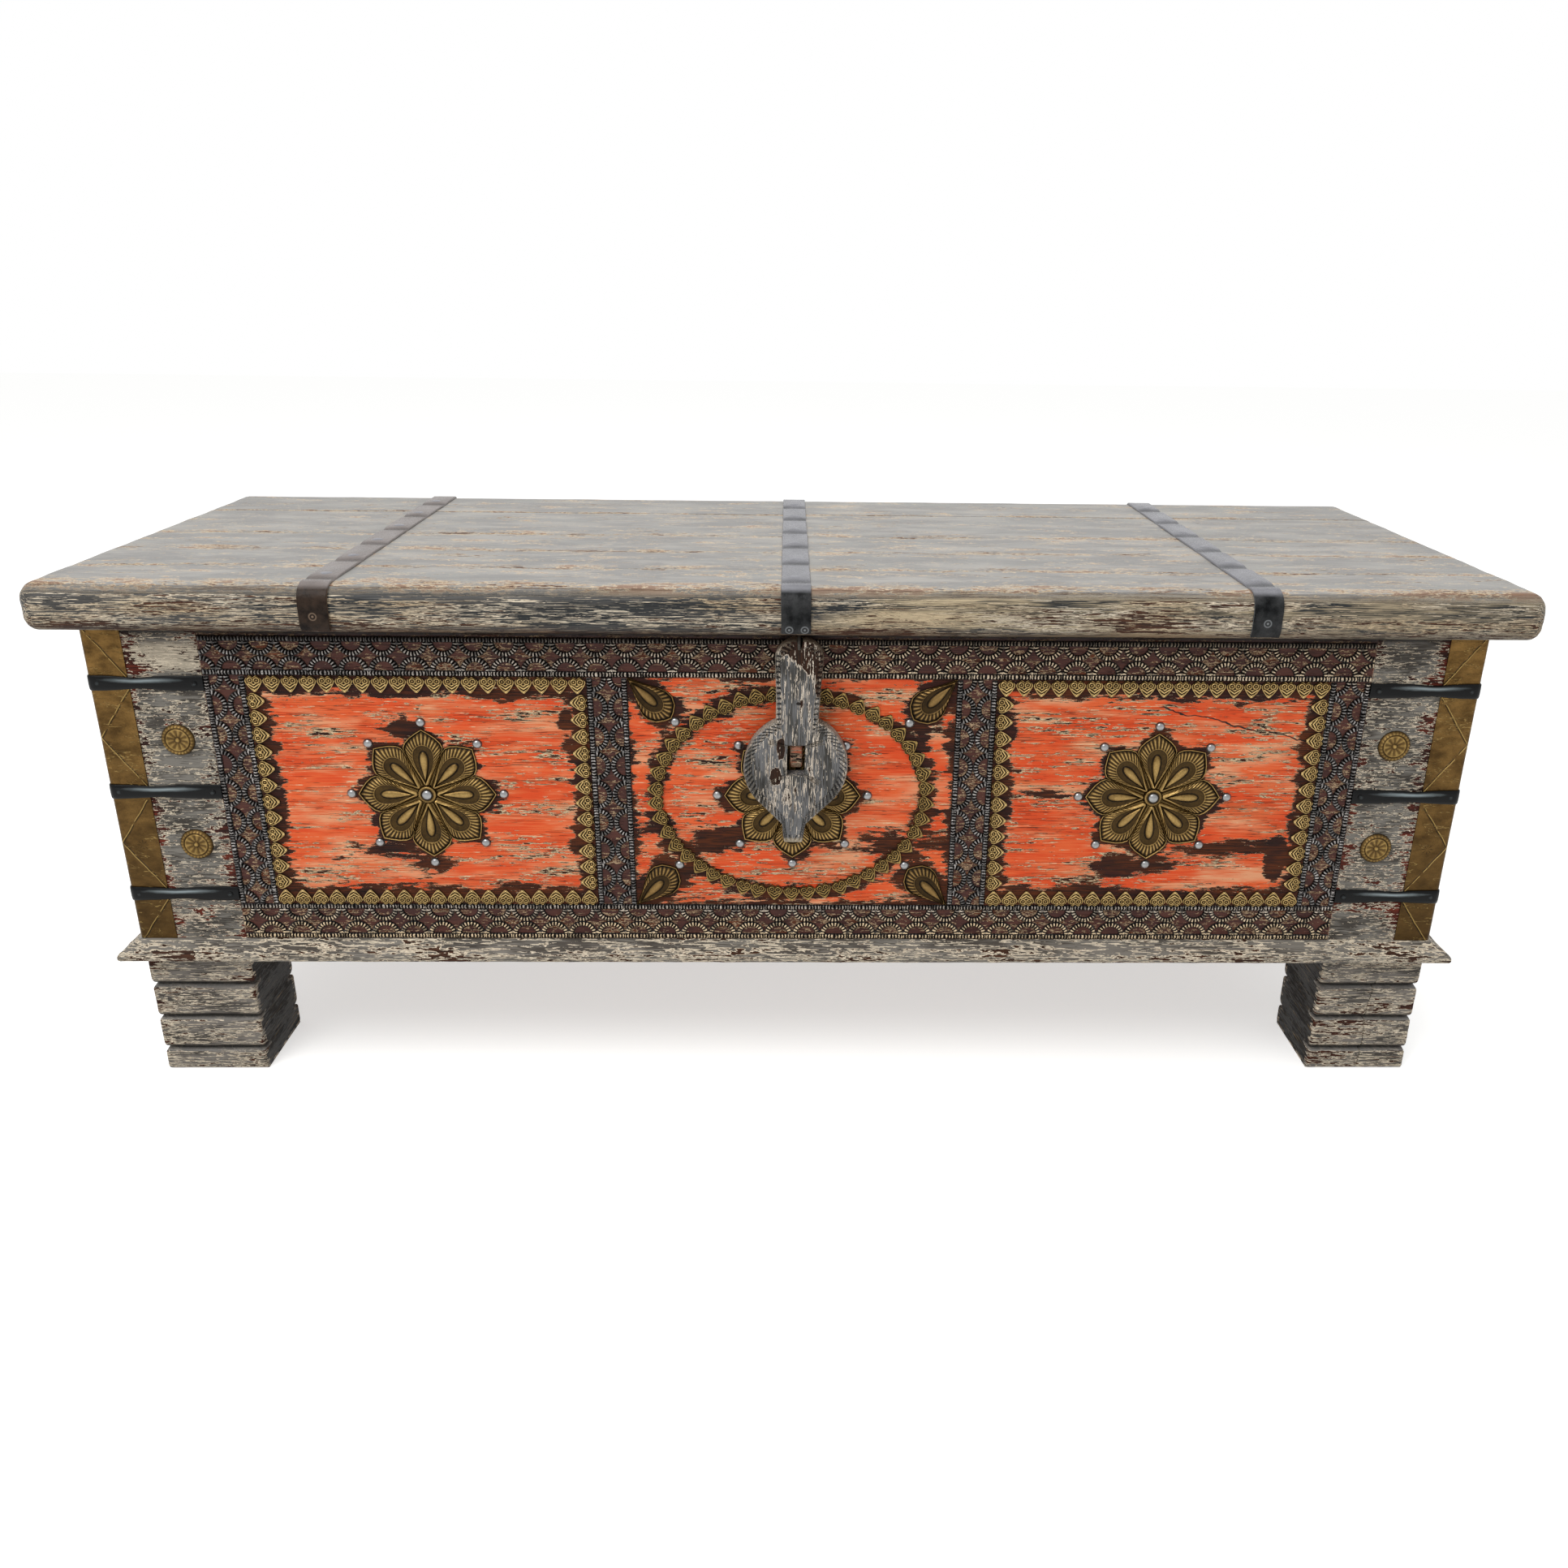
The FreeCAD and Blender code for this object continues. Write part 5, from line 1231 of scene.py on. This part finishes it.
heart_brass = brass_material("heart brass", "cfb37a", "70572c", "0b0705")
ring_brass = brass_material("ring brass", "a88d55", "574220", "0b0705", 0.42)
width = OUTER_PANEL_OUT - OUTER_PANEL_IN
height = PANEL_HIGH - PANEL_LOW - 2 * HEART_LENGTH
for side, left, right in (("left", -OUTER_PANEL_OUT, -OUTER_PANEL_IN),
                          ("right", OUTER_PANEL_IN, OUTER_PANEL_OUT)):
    across = int(width // HEART_PITCH)
    upward = int(height // HEART_PITCH)
    xs = left + (np.arange(across) + 0.5) * width / across
    zs = PANEL_LOW + HEART_LENGTH + (np.arange(upward) + 0.5) * height / upward
    rows = {"bottom": [(x, PANEL_LOW, 0.0) for x in xs], "top": [(x, PANEL_HIGH, np.pi) for x in xs],
            "west": [(left, z, -np.pi / 2) for z in zs], "east": [(right, z, np.pi / 2) for z in zs]}
    for edge, places in rows.items():
        name = "heart_strip_%s_%s" % (side, edge)
        heart().on_front(places).piece(name, heart_brass, "chest", "aged_brass", name)
turn = np.linspace(0, 2 * np.pi, 4000)
oval = np.stack([RING_HALF_WIDTH * np.cos(turn), RING_HALF_HEIGHT * np.sin(turn)], -1)
steps = run_along(oval)
count = int(round(steps[-1] / (HEART_PITCH + 0.3)))
at = (np.arange(count) + 0.5) / count * steps[-1]
turn = np.interp(at, steps, turn)
slope = np.arctan2(RING_HALF_WIDTH * np.sin(turn), RING_HALF_HEIGHT * np.cos(turn))
inner_share = 0.5 * HEART_LENGTH
ring_places = np.stack([-1.0 + RING_HALF_WIDTH * np.cos(turn) - inner_share * np.cos(slope),
                        RING_MIDDLE + RING_HALF_HEIGHT * np.sin(turn) - inner_share * np.sin(slope),
                        slope - np.pi / 2], -1)
ring_places += np.random.default_rng(7).uniform(-1, 1, ring_places.shape) * (0.5, 0.5, 0.1)
heart().on_front(ring_places).piece("heart_ring", ring_brass, "chest", "aged_brass", "heart_ring")

# The large rosettes: eight petals beaten up from sheet brass. Each has a raised rim, a band
# of fine ribs, a dark smooth drop and a bright bead in it. The boss in the middle is a nail.
RIBS = 34


def drop_curve(count, inner, outer, half_width, tail):
    """A closed drop along X: a cosine runs out and back, and a sine, thinned inwards, spreads it."""
    turn = np.linspace(0, 2 * np.pi, count, endpoint=False)
    share = (1 - np.cos(turn)) / 2
    spread = np.sin(turn) * share ** tail
    return np.stack([inner + (outer - inner) * share, half_width * spread / spread.max()], -1)


def petal(corners, drop, bead, ribs):
    """Nested closed curves from the outline to the bead, each with its height; the band is ribbed.

    corners are (share, along, across) down one side of the outline.
    """
    count = 4 * ribs
    share = np.linspace(0, 1, count, endpoint=False)
    fold = np.minimum(share, 1 - share) * 2
    knots = np.array(corners)
    outline = np.stack([np.interp(fold, knots[:, 0], knots[:, 1]),
                        np.interp(fold, knots[:, 0], knots[:, 2]) * np.where(share <= 0.5, 1, -1)], -1)
    sunk = drop_curve(count, *drop)
    bright = drop_curve(count, *bead)
    gap = np.linalg.norm(sunk - outline, axis=1, keepdims=True)
    fading = np.clip((sunk[:, 0] - sunk[:, 0].min() - 3) / 9, 0, 1)
    rib = (0.5 + 0.5 * np.cos(2 * np.pi * ribs * share)) * fading
    curves, heights, relief = [], [], []

    def level(curve, height, ridge):
        curves.append(curve)
        heights.append(height + 0 * share)
        relief.append(ridge + 0 * share)

    def inset(distance):
        return outline + (sunk - outline) * np.minimum(distance / gap, 0.3 * distance / 2.6)

    level(outline, 0.0, 0.2)
    level(outline, 0.8, 0.2)
    level(inset(0.4), 1.5, 0.8)
    level(inset(0.9), 1.6, 0.8)
    level(inset(1.7), 0.7, 0.0)
    start = inset(2.6)
    inner_end = 1 - np.clip((sunk[:, 0] - 14) / 10, 0, 1)
    for part, strength in ((0.0, 0.5), (0.2, 1.0), (0.45, 1.0), (0.7, 1.0), (0.9, 0.7)):
        level(start + (sunk - start) * part,
              1.2 + 2.0 * np.sin(part * np.pi / 2) + 0.6 * strength * rib,
              0.14 + (0.35 + 0.4 * part) * inner_end + 0.8 * strength * rib)
    level(sunk, 3.3, 0.7)
    level(sunk + (bright - sunk) * 0.12, 2.6, 0.2)
    level(sunk + (bright - sunk) * 0.2, 2.4, 0.33)
    level(sunk + (bright - sunk) * 0.8, 2.0, 0.33)
    level(bright, 1.9, 0.1)
    middle = bright.mean(0)
    level(middle + (bright - middle) * (0.93, 0.78), 2.9, 0.6)
    level(middle + (bright - middle) * (0.75, 0.45), 3.5, 0.72)
    level(middle + (bright - middle) * (0.4, 0.1), 3.6, 0.75)
    points = np.concatenate([np.array(curves), np.array(heights)[..., None]], -1)
    shape = Shape()
    shape.grid(points, np.array(relief))
    return shape


ROSETTE_PETAL = ((0.0, 6.5, 0.4), (0.06, 8.0, 3.2), (0.3, 24.0, 9.8), (0.55, 38.0, 15.6),
                 (0.63, 41.5, 16.3), (0.72, 45.5, 14.6), (0.82, 49.8, 10.6), (0.92, 53.6, 5.4),
                 (1.0, 57.0, 0.0))
rosette_petal = petal(ROSETTE_PETAL, (9.0, 43.5, 8.6, 0.75), (10.5, 38.0, 3.6, 0.75), RIBS)
boss = dome(7.2, 2.6, flange=1.6, count=24)
boss.points[0][:, 2] += 1.0
boss_radius = np.hypot(boss.points[0][:, 0], boss.points[0][:, 1])
boss.relief[0] = np.interp(boss_radius, [4.5, 5.2, 6.0, 7.2], [0, 0.1, 0.9, 0.5])
rosette_brass = brass_material("rosette brass", "b0925a", "5a4420", "0f0a06", 0.33)
for name, x in (("left", -ROSETTE_X), ("middle", 0.0), ("right", ROSETTE_X)):
    rosette = rosette_petal.on_front([(x, PANEL_MIDDLE, turn) for turn in np.arange(8) * np.pi / 4])
    rosette.join(boss.on_front([(x, PANEL_MIDDLE, 0.0)]))
    rosette.piece("rosette_" + name, rosette_brass, "chest", "aged_brass", "rosette_" + name)

# The corner leaves of the middle panel are beaten like the petals, with their points in the
# corners. Round-headed steel nails hold them and ring each rosette.
LEAF_OUTLINE = ((0.0, 0.0, 0.3), (0.25, 12.0, 5.6), (0.45, 22.5, 11.2), (0.6, 30.5, 14.6),
                (0.7, 36.5, 14.6), (0.82, 43.0, 11.0), (0.93, 47.0, 5.0), (1.0, 49.0, 0.0))
leaf = petal(LEAF_OUTLINE, (4.0, 38.0, 8.0, 0.45), (6.0, 32.5, 3.8, 0.6), 30)
leaf_places = [(side * MIDDLE_PANEL, PANEL_HIGH if level > 0 else PANEL_LOW, np.radians(angle))
               for side, level, angle in ((1, 1, 225), (-1, 1, 315), (-1, -1, 45), (1, -1, 135))]
leaf_brass = brass_material("leaf brass", "927546", "4a3719", "0f0a06", 0.36)
leaf.on_front(leaf_places).piece("corner_leaves", leaf_brass, "chest", "aged_brass", "corner_leaves")
nail_steel, nail_tree, nail_shader = new_material("nail steel")
nail_grit = noise(object_place(nail_tree), (2.5, 2.5, 2.5), 3.0, 0.6)
nail_rim = ramp(attribute(nail_tree, "relief"), 0.15, 0.6)
nail_tone = mix(nail_rim, colour("2a2723"), mix(nail_grit, colour("a9aaab"), colour("747474")))
put(nail_shader.inputs["Base Color"], nail_tone)
put(nail_shader.inputs["Roughness"], 0.22 + nail_grit * 0.2)
nail_shader.inputs["Metallic"].default_value = 1.0
NAIL_CIRCLE = 62.5
nail_places = [(x + NAIL_CIRCLE * np.cos(turn), PANEL_MIDDLE + NAIL_CIRCLE * np.sin(turn), 0.0)
               for x in (-ROSETTE_X, 0.0, ROSETTE_X) for turn in np.arange(8) * np.pi / 4]
leaf_nail = 53.0 * np.sqrt(0.5)
leaf_nail_up = (PANEL_HIGH - PANEL_LOW) / 2 - leaf_nail
nail_places += [(side * (MIDDLE_PANEL - leaf_nail), PANEL_MIDDLE + level * leaf_nail_up, 0.0)
                for side in (-1, 1) for level in (-1, 1)]
domes = dome(4.0, 3.0, count=18).on_front(nail_places)
middle_dome = dome(4.6, 5.6, flange=3.0, count=20)
domes.join(middle_dome.on_front([(x, PANEL_MIDDLE, 0.0) for x in (-ROSETTE_X, 0.0, ROSETTE_X)]))
domes.piece("dome_nails", nail_steel, "chest", "steel_nail", "dome_nails")

# The small rosettes on the stiles: a dished flower of ten petals inside a beaded ring, cast
# thin and pinned through the middle.
BUTTON_X = 498.5
BUTTON_PITCH = 93.0


def button():
    """Rings from the middle outwards; a cosine of the angle lifts the petals and the beads."""
    turn = np.linspace(0, 2 * np.pi, 80, endpoint=False)
    petals = 0.5 + 0.5 * np.cos(10 * turn)
    beads = 0.5 + 0.5 * np.cos(26 * turn)
    # Each ring's radius, height, lift of the petals, lift of the beads, and brightness.
    rings = [(0.7, 2.6, 0, 0, 0.8), (1.6, 2.3, 0, 0, 0.6), (2.1, 1.4, 0, 0, 0.3),
             (3.4, 1.0, 0.4, 0, 0.4), (5.6, 1.2, 0.7, 0, 0.42), (7.8, 1.6, 0.6, 0, 0.45),
             (9.0, 2.3, 0.2, 0, 0.7), (9.8, 1.7, 0, 0, 0.3), (10.7, 2.2, 0, 0.4, 0.5),
             (11.6, 2.2, 0, 0.8, 0.45), (12.4, 1.6, 0, 0.5, 0.4), (13.3, 0.8, 0, 0, 0.35),
             (13.4, 0.0, 0, 0, 0.0)]
    radius = np.array([ring[0] for ring in rings])[:, None]
    out = np.array([ring[1] + ring[2] * petals + ring[3] * beads for ring in rings])
    relief = np.array([ring[4] + 0.45 * (ring[2] * petals + ring[3] * beads) for ring in rings])
    points = np.stack([radius * np.cos(turn), radius * np.sin(turn), out], -1)
    shape = Shape()
    shape.grid(points[::-1], np.clip(relief[::-1], 0, 1))
    return shape


button_brass = brass_material("button brass", "a88c52", "664f2a", "120c07", 0.42)
for name, side in (("left", -1), ("right", 1)):
    places = [(side * BUTTON_X, PANEL_MIDDLE + level * BUTTON_PITCH / 2, 0.1) for level in (-1, 1)]
    button().on_front(places).piece("stile_rosettes_" + name, button_brass, "chest", "aged_brass",
                                    "stile_rosettes_" + name)

# The hasp: one carved board with a notched head, a neck, a slotted disc and a tapering tip.
# Slanting cuts run round its border, and pairs of lines leave the corners of the slot.
HASP_X = 5.0
HASP_Y = -194.0
EYE_Z = 404.3
DISC_DROP = 102.1
DISC_RADIUS = 42.0
# The slot's half width, half height and rise above the disc's middle.
SLOT = (7.2, 13.0, 6.2)
HASP_LEAN = 0.03


def hasp_outline():
    """(across, up) down the right side from the notch, and the matching line it is drawn in to.

    Both are cut at the same places: the neck's foot, and the two corners and the foot of the slot.
    """
    disc = -DISC_DROP
    turn = np.linspace(0.13, np.pi / 2, 24)
    head = np.stack([19 * np.sin(turn), -11.3 + 16 * np.cos(turn)], -1)
    head = np.concatenate([[[0.0, -2.6], [2.0, -2.6], [2.2, -2.2], [2.2, 4.0]], head])
    neck_foot = np.degrees(np.arccos(17 / DISC_RADIUS))
    bends = (neck_foot, 38.0, -32.0, -45.0)
    middle = (0.0, disc)
    parts = [np.concatenate([head, [[17.4, -40.0]], arc(middle, DISC_RADIUS, bends[0], bends[0], 1)]),
             arc(middle, DISC_RADIUS, bends[0], bends[1], 20),
             arc(middle, DISC_RADIUS, bends[1], bends[2], 40),
             np.concatenate([arc(middle, DISC_RADIUS, bends[2], bends[3], 8), [[9.5, disc - 50.0]]]),
             np.array([[9.5, disc - 50.0], [7.6, disc - 65.0], [7.0, disc - 66.0], [0.0, disc - 66.0]])]
    wide, tall, rise = SLOT
    top, low = disc + rise + tall, disc + rise - tall
    inner = [np.array([[0.0, -10.0], [0.0, top]]), np.array([[0.0, top], [wide, top]]),
             np.array([[wide, top], [wide, low]]), np.array([[wide, low], [0.0, low]]),
             np.array([[0.0, low], [0.0, disc - 60.0]])]
    outer_points, inner_points, marks = [], [], []
    for part, line in zip(parts, inner):
        even = evenly(part, 1.1)
        share = np.linspace(0, 1, len(even))[:, None]
        outer_points.append(even[:-1])
        inner_points.append((line[0] + (line[1] - line[0]) * share)[:-1])
        marks.append(sum(len(block) for block in outer_points))
    outer_points.append(parts[-1][-1:])
    inner_points.append(inner[-1][-1:])
    return np.concatenate(outer_points), np.concatenate(inner_points), marks


def hasp_piece():
    """The front is a sheet from the outline to the line inside it; the back is flat."""
    right, line, marks = hasp_outline()
    count = len(right)
    outline = np.concatenate([right, right[-2:0:-1] * (-1, 1)])
    inner = np.concatenate([line, line[-2:0:-1] * (-1, 1)])
    total = len(outline)
    column = np.arange(total)
    mirrored = np.where(column < count, column, total - column)
    gap = np.linalg.norm(inner - outline, axis=1)
    steps = run_along(right)[mirrored]
    insets = np.array([0.0, 0.7, 1.6, 2.4, 3.2, 4.0, 4.8, 5.6, 6.4, 7.0, 7.8])
    shares = np.linspace(0, 1, 15)[1:]
    squeeze = np.minimum(1, 0.8 * gap / insets[-1])
    rows, depth, relief = [], [], []
    carved = np.clip((gap - 7) / 3, 0, 1) * np.clip((steps - 8) / 6, 0, 1)
    for inset in insets:
        rows.append(outline + (inner - outline) * (inset * squeeze / gap)[:, None])
        window = np.clip((inset - 0.5) / 0.6, 0, 1) * np.clip((6.9 - inset) / 0.5, 0, 1) * carved
        slant = np.cos(2 * np.pi * (steps / 4.4 + inset / 5.5))
        cut = 1.5 * window * np.clip(slant, 0, 1) ** 0.7
        groove = 0.6 * np.exp(-((inset - 7.0) / 0.4) ** 2) * carved
        edge = 1.7 * np.clip(1 - inset / 1.4, 0, 1) ** 2
        depth.append(edge + cut + groove)
        rubbed = 0.5 + 0.25 * np.clip(1 - inset / 1.5, 0, 1) - cut * 0.5 + window * 0.15
        relief.append(np.clip(rubbed, 0, 1))
    base = rows[-1]
    corner_marks = np.array([marks[1], marks[2]])
    from_mark = np.abs(mirrored[:, None] - corner_marks).min(1)
    for share in shares:
        rows.append(base + (inner - base) * share)
        near = np.linalg.norm(rows[-1] - inner, axis=1)
        lines = np.where((from_mark == 1) | (from_mark == 3), 0.8, 0.0) * (near < 15) * (near > 1.0)
        depth.append(lines + np.where(share == 1, 0.5, 0.0) + 0 * steps)
        relief.append(np.where(lines > 0, 0.95, 0.3) + np.where(share == 1, 0.4, 0.0))
    flat = np.array(rows)
    depth = np.array(depth)
    rough = waves(flat[..., 0] / 4, flat[..., 1] / 15, 90)
    depth = depth + 0.25 * (1 + rough) * (np.arange(len(rows)) > 1)[:, None]
    front = HASP_Y - 7.0
    back = HASP_Y + 7.0
    leaning = HASP_X + 0.8 + flat[..., 0] + HASP_LEAN * flat[..., 1]
    face = np.stack([leaning, front + depth, EYE_Z + flat[..., 1]], -1)
    rear = np.stack([leaning, back + 0 * depth, EYE_Z + flat[..., 1]], -1)
    shape = Shape()
    shape.grid(face, np.array(relief), ends=False)
    shape.grid(rear[[0, len(rows) // 2, -1]], 0.4, ends=False)
    edge_shift = normals_of(outline, closed=True)
    points_inwards = np.sum(edge_shift * (inner - outline), 1, keepdims=True) > 0
    outward = np.where(points_inwards, -edge_shift, edge_shift)
    sides = []
    for part in np.linspace(0, 1, 6):
        swell = 0.3 * np.sin(part * np.pi) * np.stack([outward[:, 0], 0 * steps, outward[:, 1]], -1)
        sides.append(face[0] * (1 - part) + rear[0] * part + swell)
    shape.grid(np.array(sides), 0.75, ends=False)
    slot = np.nonzero((mirrored >= marks[0]) & (mirrored <= marks[3]))[0]
    for part in (slot[slot < count], slot[slot >= count]):
        shape.grid(np.stack([face[-1][part], rear[-1][part]]), 0.2, around=False, ends=False)
    shape.piece("hasp", hasp_paint, "hasp", "grey_paint", "hasp", weld=True, sharp=50)


def hasp_material():
    """The lid's grey paint with its grain upright; the head is handled down to dark wood, and the carved
    cuts and the slot's walls are darkened as painted shade.
    """
    material, tree, shader = new_material("hasp paint")
    place = object_place(tree, (0.0, np.pi / 2, 0.0))
    x, _, z = axes(object_place(tree))
    relief = attribute(tree, "relief")
    edge = ramp(relief, 0.55, 1.0)
    smudge = noise(place, (30, 14, 14), 3.0, 0.6)
    left = x - HASP_X * MM
    head = ramp(z + (smudge - 0.5) * 0.05 + left * 0.8, 0.384, 0.392)
    slot_z = EYE_Z - DISC_DROP + SLOT[2]
    # Bald places as (x, z, half width, half height).
    handled = ((-9, slot_z + 10, 3, 8), (-14, slot_z - 14, 4, 7), (21, 378, 4, 16))
    bald = [ramp(length_of((x - at * MM) / (wide * MM), (z - level * MM) / (tall * MM))
                 + (smudge - 0.5) * 1.6, 1.1, 0.9) for at, level, wide, tall in handled]
    wear = edge * 0.14 + highest(head, *bald) * 0.7 - 0.12
    made = use(tree, worn_paint, Place=place, Wear=wear, Cracks=0.8, Scratches=0.7,
               Paint=colour("6c6c6d"), Shade=colour("35332f"), Ground=colour("e6d8c6"),
               Wood=colour("341d0f"))
    # Painted shade: the bottoms of the cuts and the walls of the slot are darkened.
    cut = ramp(relief, 0.3, 0.05)
    hatched = ramp(relief, 0.6, 0.7) * ramp(smudge, 0.35, 0.5)
    shown = mix(hatched * 0.3, made["Color"], colour("b5a892"))
    shown = mix(cut * 0.85, shown, colour("1f1a17"))
    hole = ramp(length_of(left / 1.6, z - 357 * MM), 1.5 * MM, 1.1 * MM)
    tip = ramp(z, (EYE_Z - DISC_DROP - 61) * MM, (EYE_Z - DISC_DROP - 63) * MM)
    shown = mix(tip * 0.6, shown, colour("bfb096"))
    painted_shader(shader, dict(made, Color=mix(hole, shown, colour("120b07"))), 0.4)
    return material


hasp_paint = hasp_material()
hasp_piece()

# The eye is a ring of thick wire that hangs the hasp from the lid, twisted into a stem. The lug behind the
# slot is a stub of wood in the front board, daubed with the panels' orange; its colours are set lighter
# than the panels', as painted light against the shade in the slot.
EYE_RADIUS = 6.3
wire = iron_material("wire", "3a3733", "8a857c", 0.4, rust=0.2)
ring_turn = np.linspace(0, 2 * np.pi, 40)[:, None]
wire_turn = np.linspace(0, 2 * np.pi, 10, endpoint=False)
ring_radius = EYE_RADIUS + 1.2 * np.cos(wire_turn)
eye = Shape()
eye.grid(np.stack([HASP_X + 1.2 * np.sin(wire_turn) + 0 * ring_turn,
                   HASP_Y + ring_radius * np.cos(ring_turn),
                   EYE_Z + ring_radius * np.sin(ring_turn)], -1), 0.6, ends=False)
stem_heights = np.linspace(EYE_Z + EYE_RADIUS, LID_LOW + 11, 8)[:, None]
eye.grid(np.stack([HASP_X + 1.1 * np.cos(wire_turn) + 0 * stem_heights,
                   HASP_Y + 1.1 * np.sin(wire_turn) + 0 * stem_heights,
                   stem_heights + 0 * wire_turn], -1), 0.6)
eye.piece("hasp_eye", wire, "lid", "wire", "hasp_eye", weld=True)


LUG_MIDDLE = 308.0


def lug_piece():
    """A block drawn in towards its front end.

    Its section is a rounded rectangle: a cosine and a sine, each raised to a small power.
    """
    turn = np.linspace(0, 2 * np.pi, 40, endpoint=False)
    power = 2 / 5
    across = np.sign(np.cos(turn)) * np.abs(np.cos(turn)) ** power
    up = np.sign(np.sin(turn)) * np.abs(np.sin(turn)) ** power
    outs = np.array([0.0, 4.0, 7.5, 9.6, 10.7, 11.0])[:, None]
    size = np.array([1.0, 1.0, 0.98, 0.94, 0.84, 0.66])[:, None]
    points = np.stack([HASP_X - 2.0 + 5.4 * across * size, FRONT - outs + 0 * across,
                       LUG_MIDDLE + 10.9 * up * size + 0.3 * np.sin(3 * turn)], -1)
    shape = Shape()
    shape.grid(points, np.linspace(0.2, 0.7, 6)[:, None])
    shape.piece("hasp_lug", lug_paint, "chest", "orange_paint", "hasp_lug")


lug_paint, lug_tree, lug_shader = new_material("lug paint")
# Painted light: the orange, its light streaks and the ground are set lighter than the panels' to make up
# for the shade in the slot.
lug_made = use(lug_tree, worn_paint, Place=object_place(lug_tree), Wear=0.02, Scratches=1.0,
               Cracks=1.0, Paint=colour("f4724a"), Shade=colour("f0a080"),
               Ground=colour("f0d0b0"), Wood=colour("2f2623"))
painted_shader(lug_shader, lug_made)
lug_piece()

# The setting: a pale floor, soft light from above and in front, and the camera at the
# photograph's place. The backdrop is white to the camera and in reflections only.
def seen_plainly(tree):
    """1 for what the camera sees, straight or in metal, and 0 for the light on the object."""
    item = tree.nodes.new("ShaderNodeLightPath")
    return highest(*[Field(item.outputs["Is %s Ray" % kind])
                     for kind in ("Camera", "Glossy", "Transmission")])


floor_mesh = bpy.data.meshes.new("floor")
floor_mesh.from_pydata([(-8, -8, 0), (8, -8, 0), (8, 8, 0), (-8, 8, 0)], [], [(0, 1, 2, 3)])
floor = bpy.data.objects.new("floor", floor_mesh)
bpy.context.scene.collection.objects.link(floor)
floor_paint, floor_tree, floor_shader = new_material("floor")
floor_shader.inputs["Base Color"].default_value = colour("e6e6e4")
floor_shader.inputs["Roughness"].default_value = 0.9
floor_shader.inputs["Specular IOR Level"].default_value = 0.0
floor_shader.inputs["Emission Color"].default_value = (1.0, 1.0, 1.0, 1.0)
put(floor_shader.inputs["Emission Strength"], seen_plainly(floor_tree) * 0.55)
floor_mesh.materials.append(floor_paint)

world = bpy.data.worlds.new("studio")
bpy.context.scene.world = world
world.use_nodes = True
sky = world.node_tree.nodes["Background"]
sky.inputs["Color"].default_value = (1.0, 1.0, 1.0, 1.0)
put(sky.inputs["Strength"], 0.55 + seen_plainly(world.node_tree) * 0.45)


def lamp(name, place, aim, size, power):
    light = bpy.data.lights.new(name, "AREA")
    light.shape = "DISK"
    light.size = size
    light.energy = power
    item = bpy.data.objects.new(name, light)
    direction = np.array(aim) - np.array(place)
    flat = np.hypot(direction[0], direction[1])
    heading = np.arctan2(direction[1], direction[0]) - np.pi / 2
    item.rotation_euler = (np.arctan2(flat, -direction[2]), 0.0, heading)
    item.location = place
    bpy.context.scene.collection.objects.link(item)


lamp("key", (-0.9, -1.3, 2.3), (0.0, 0.0, 0.3), 1.6, 38.0)
lamp("top", (0.4, 0.5, 2.4), (0.0, 0.0, 0.45), 1.8, 22.0)

camera = bpy.data.cameras.new("camera")
camera.sensor_width = 36.0
camera.lens = 28.8811
camera.shift_x = -0.02913
camera.shift_y = -0.02041
camera.clip_start = 0.05
eye_point = bpy.data.objects.new("camera", camera)
eye_point.location = (0.00811, -1.14741, 0.6721)
eye_point.rotation_mode = "QUATERNION"
yaw, pitch, roll = -0.02318, 1.21149, 0.01332


def turned(axis, angle):
    """The quaternion of a turn about one axis."""
    values = [np.cos(angle / 2), 0.0, 0.0, 0.0]
    values[axis + 1] = np.sin(angle / 2)
    return values


def after(first, second):
    """The product of two quaternions: the second turn, in the axes that the first gives."""
    a, b, c, d = first
    e, f, g, h = second
    return [a * e - b * f - c * g - d * h, a * f + b * e + c * h - d * g,
            a * g - b * h + c * e + d * f, a * h + b * g - c * f + d * e]


eye_point.rotation_quaternion = after(after(turned(2, yaw), turned(0, pitch)), turned(2, roll))
bpy.context.scene.collection.objects.link(eye_point)
bpy.context.scene.camera = eye_point
bpy.context.scene.view_settings.view_transform = "Standard"
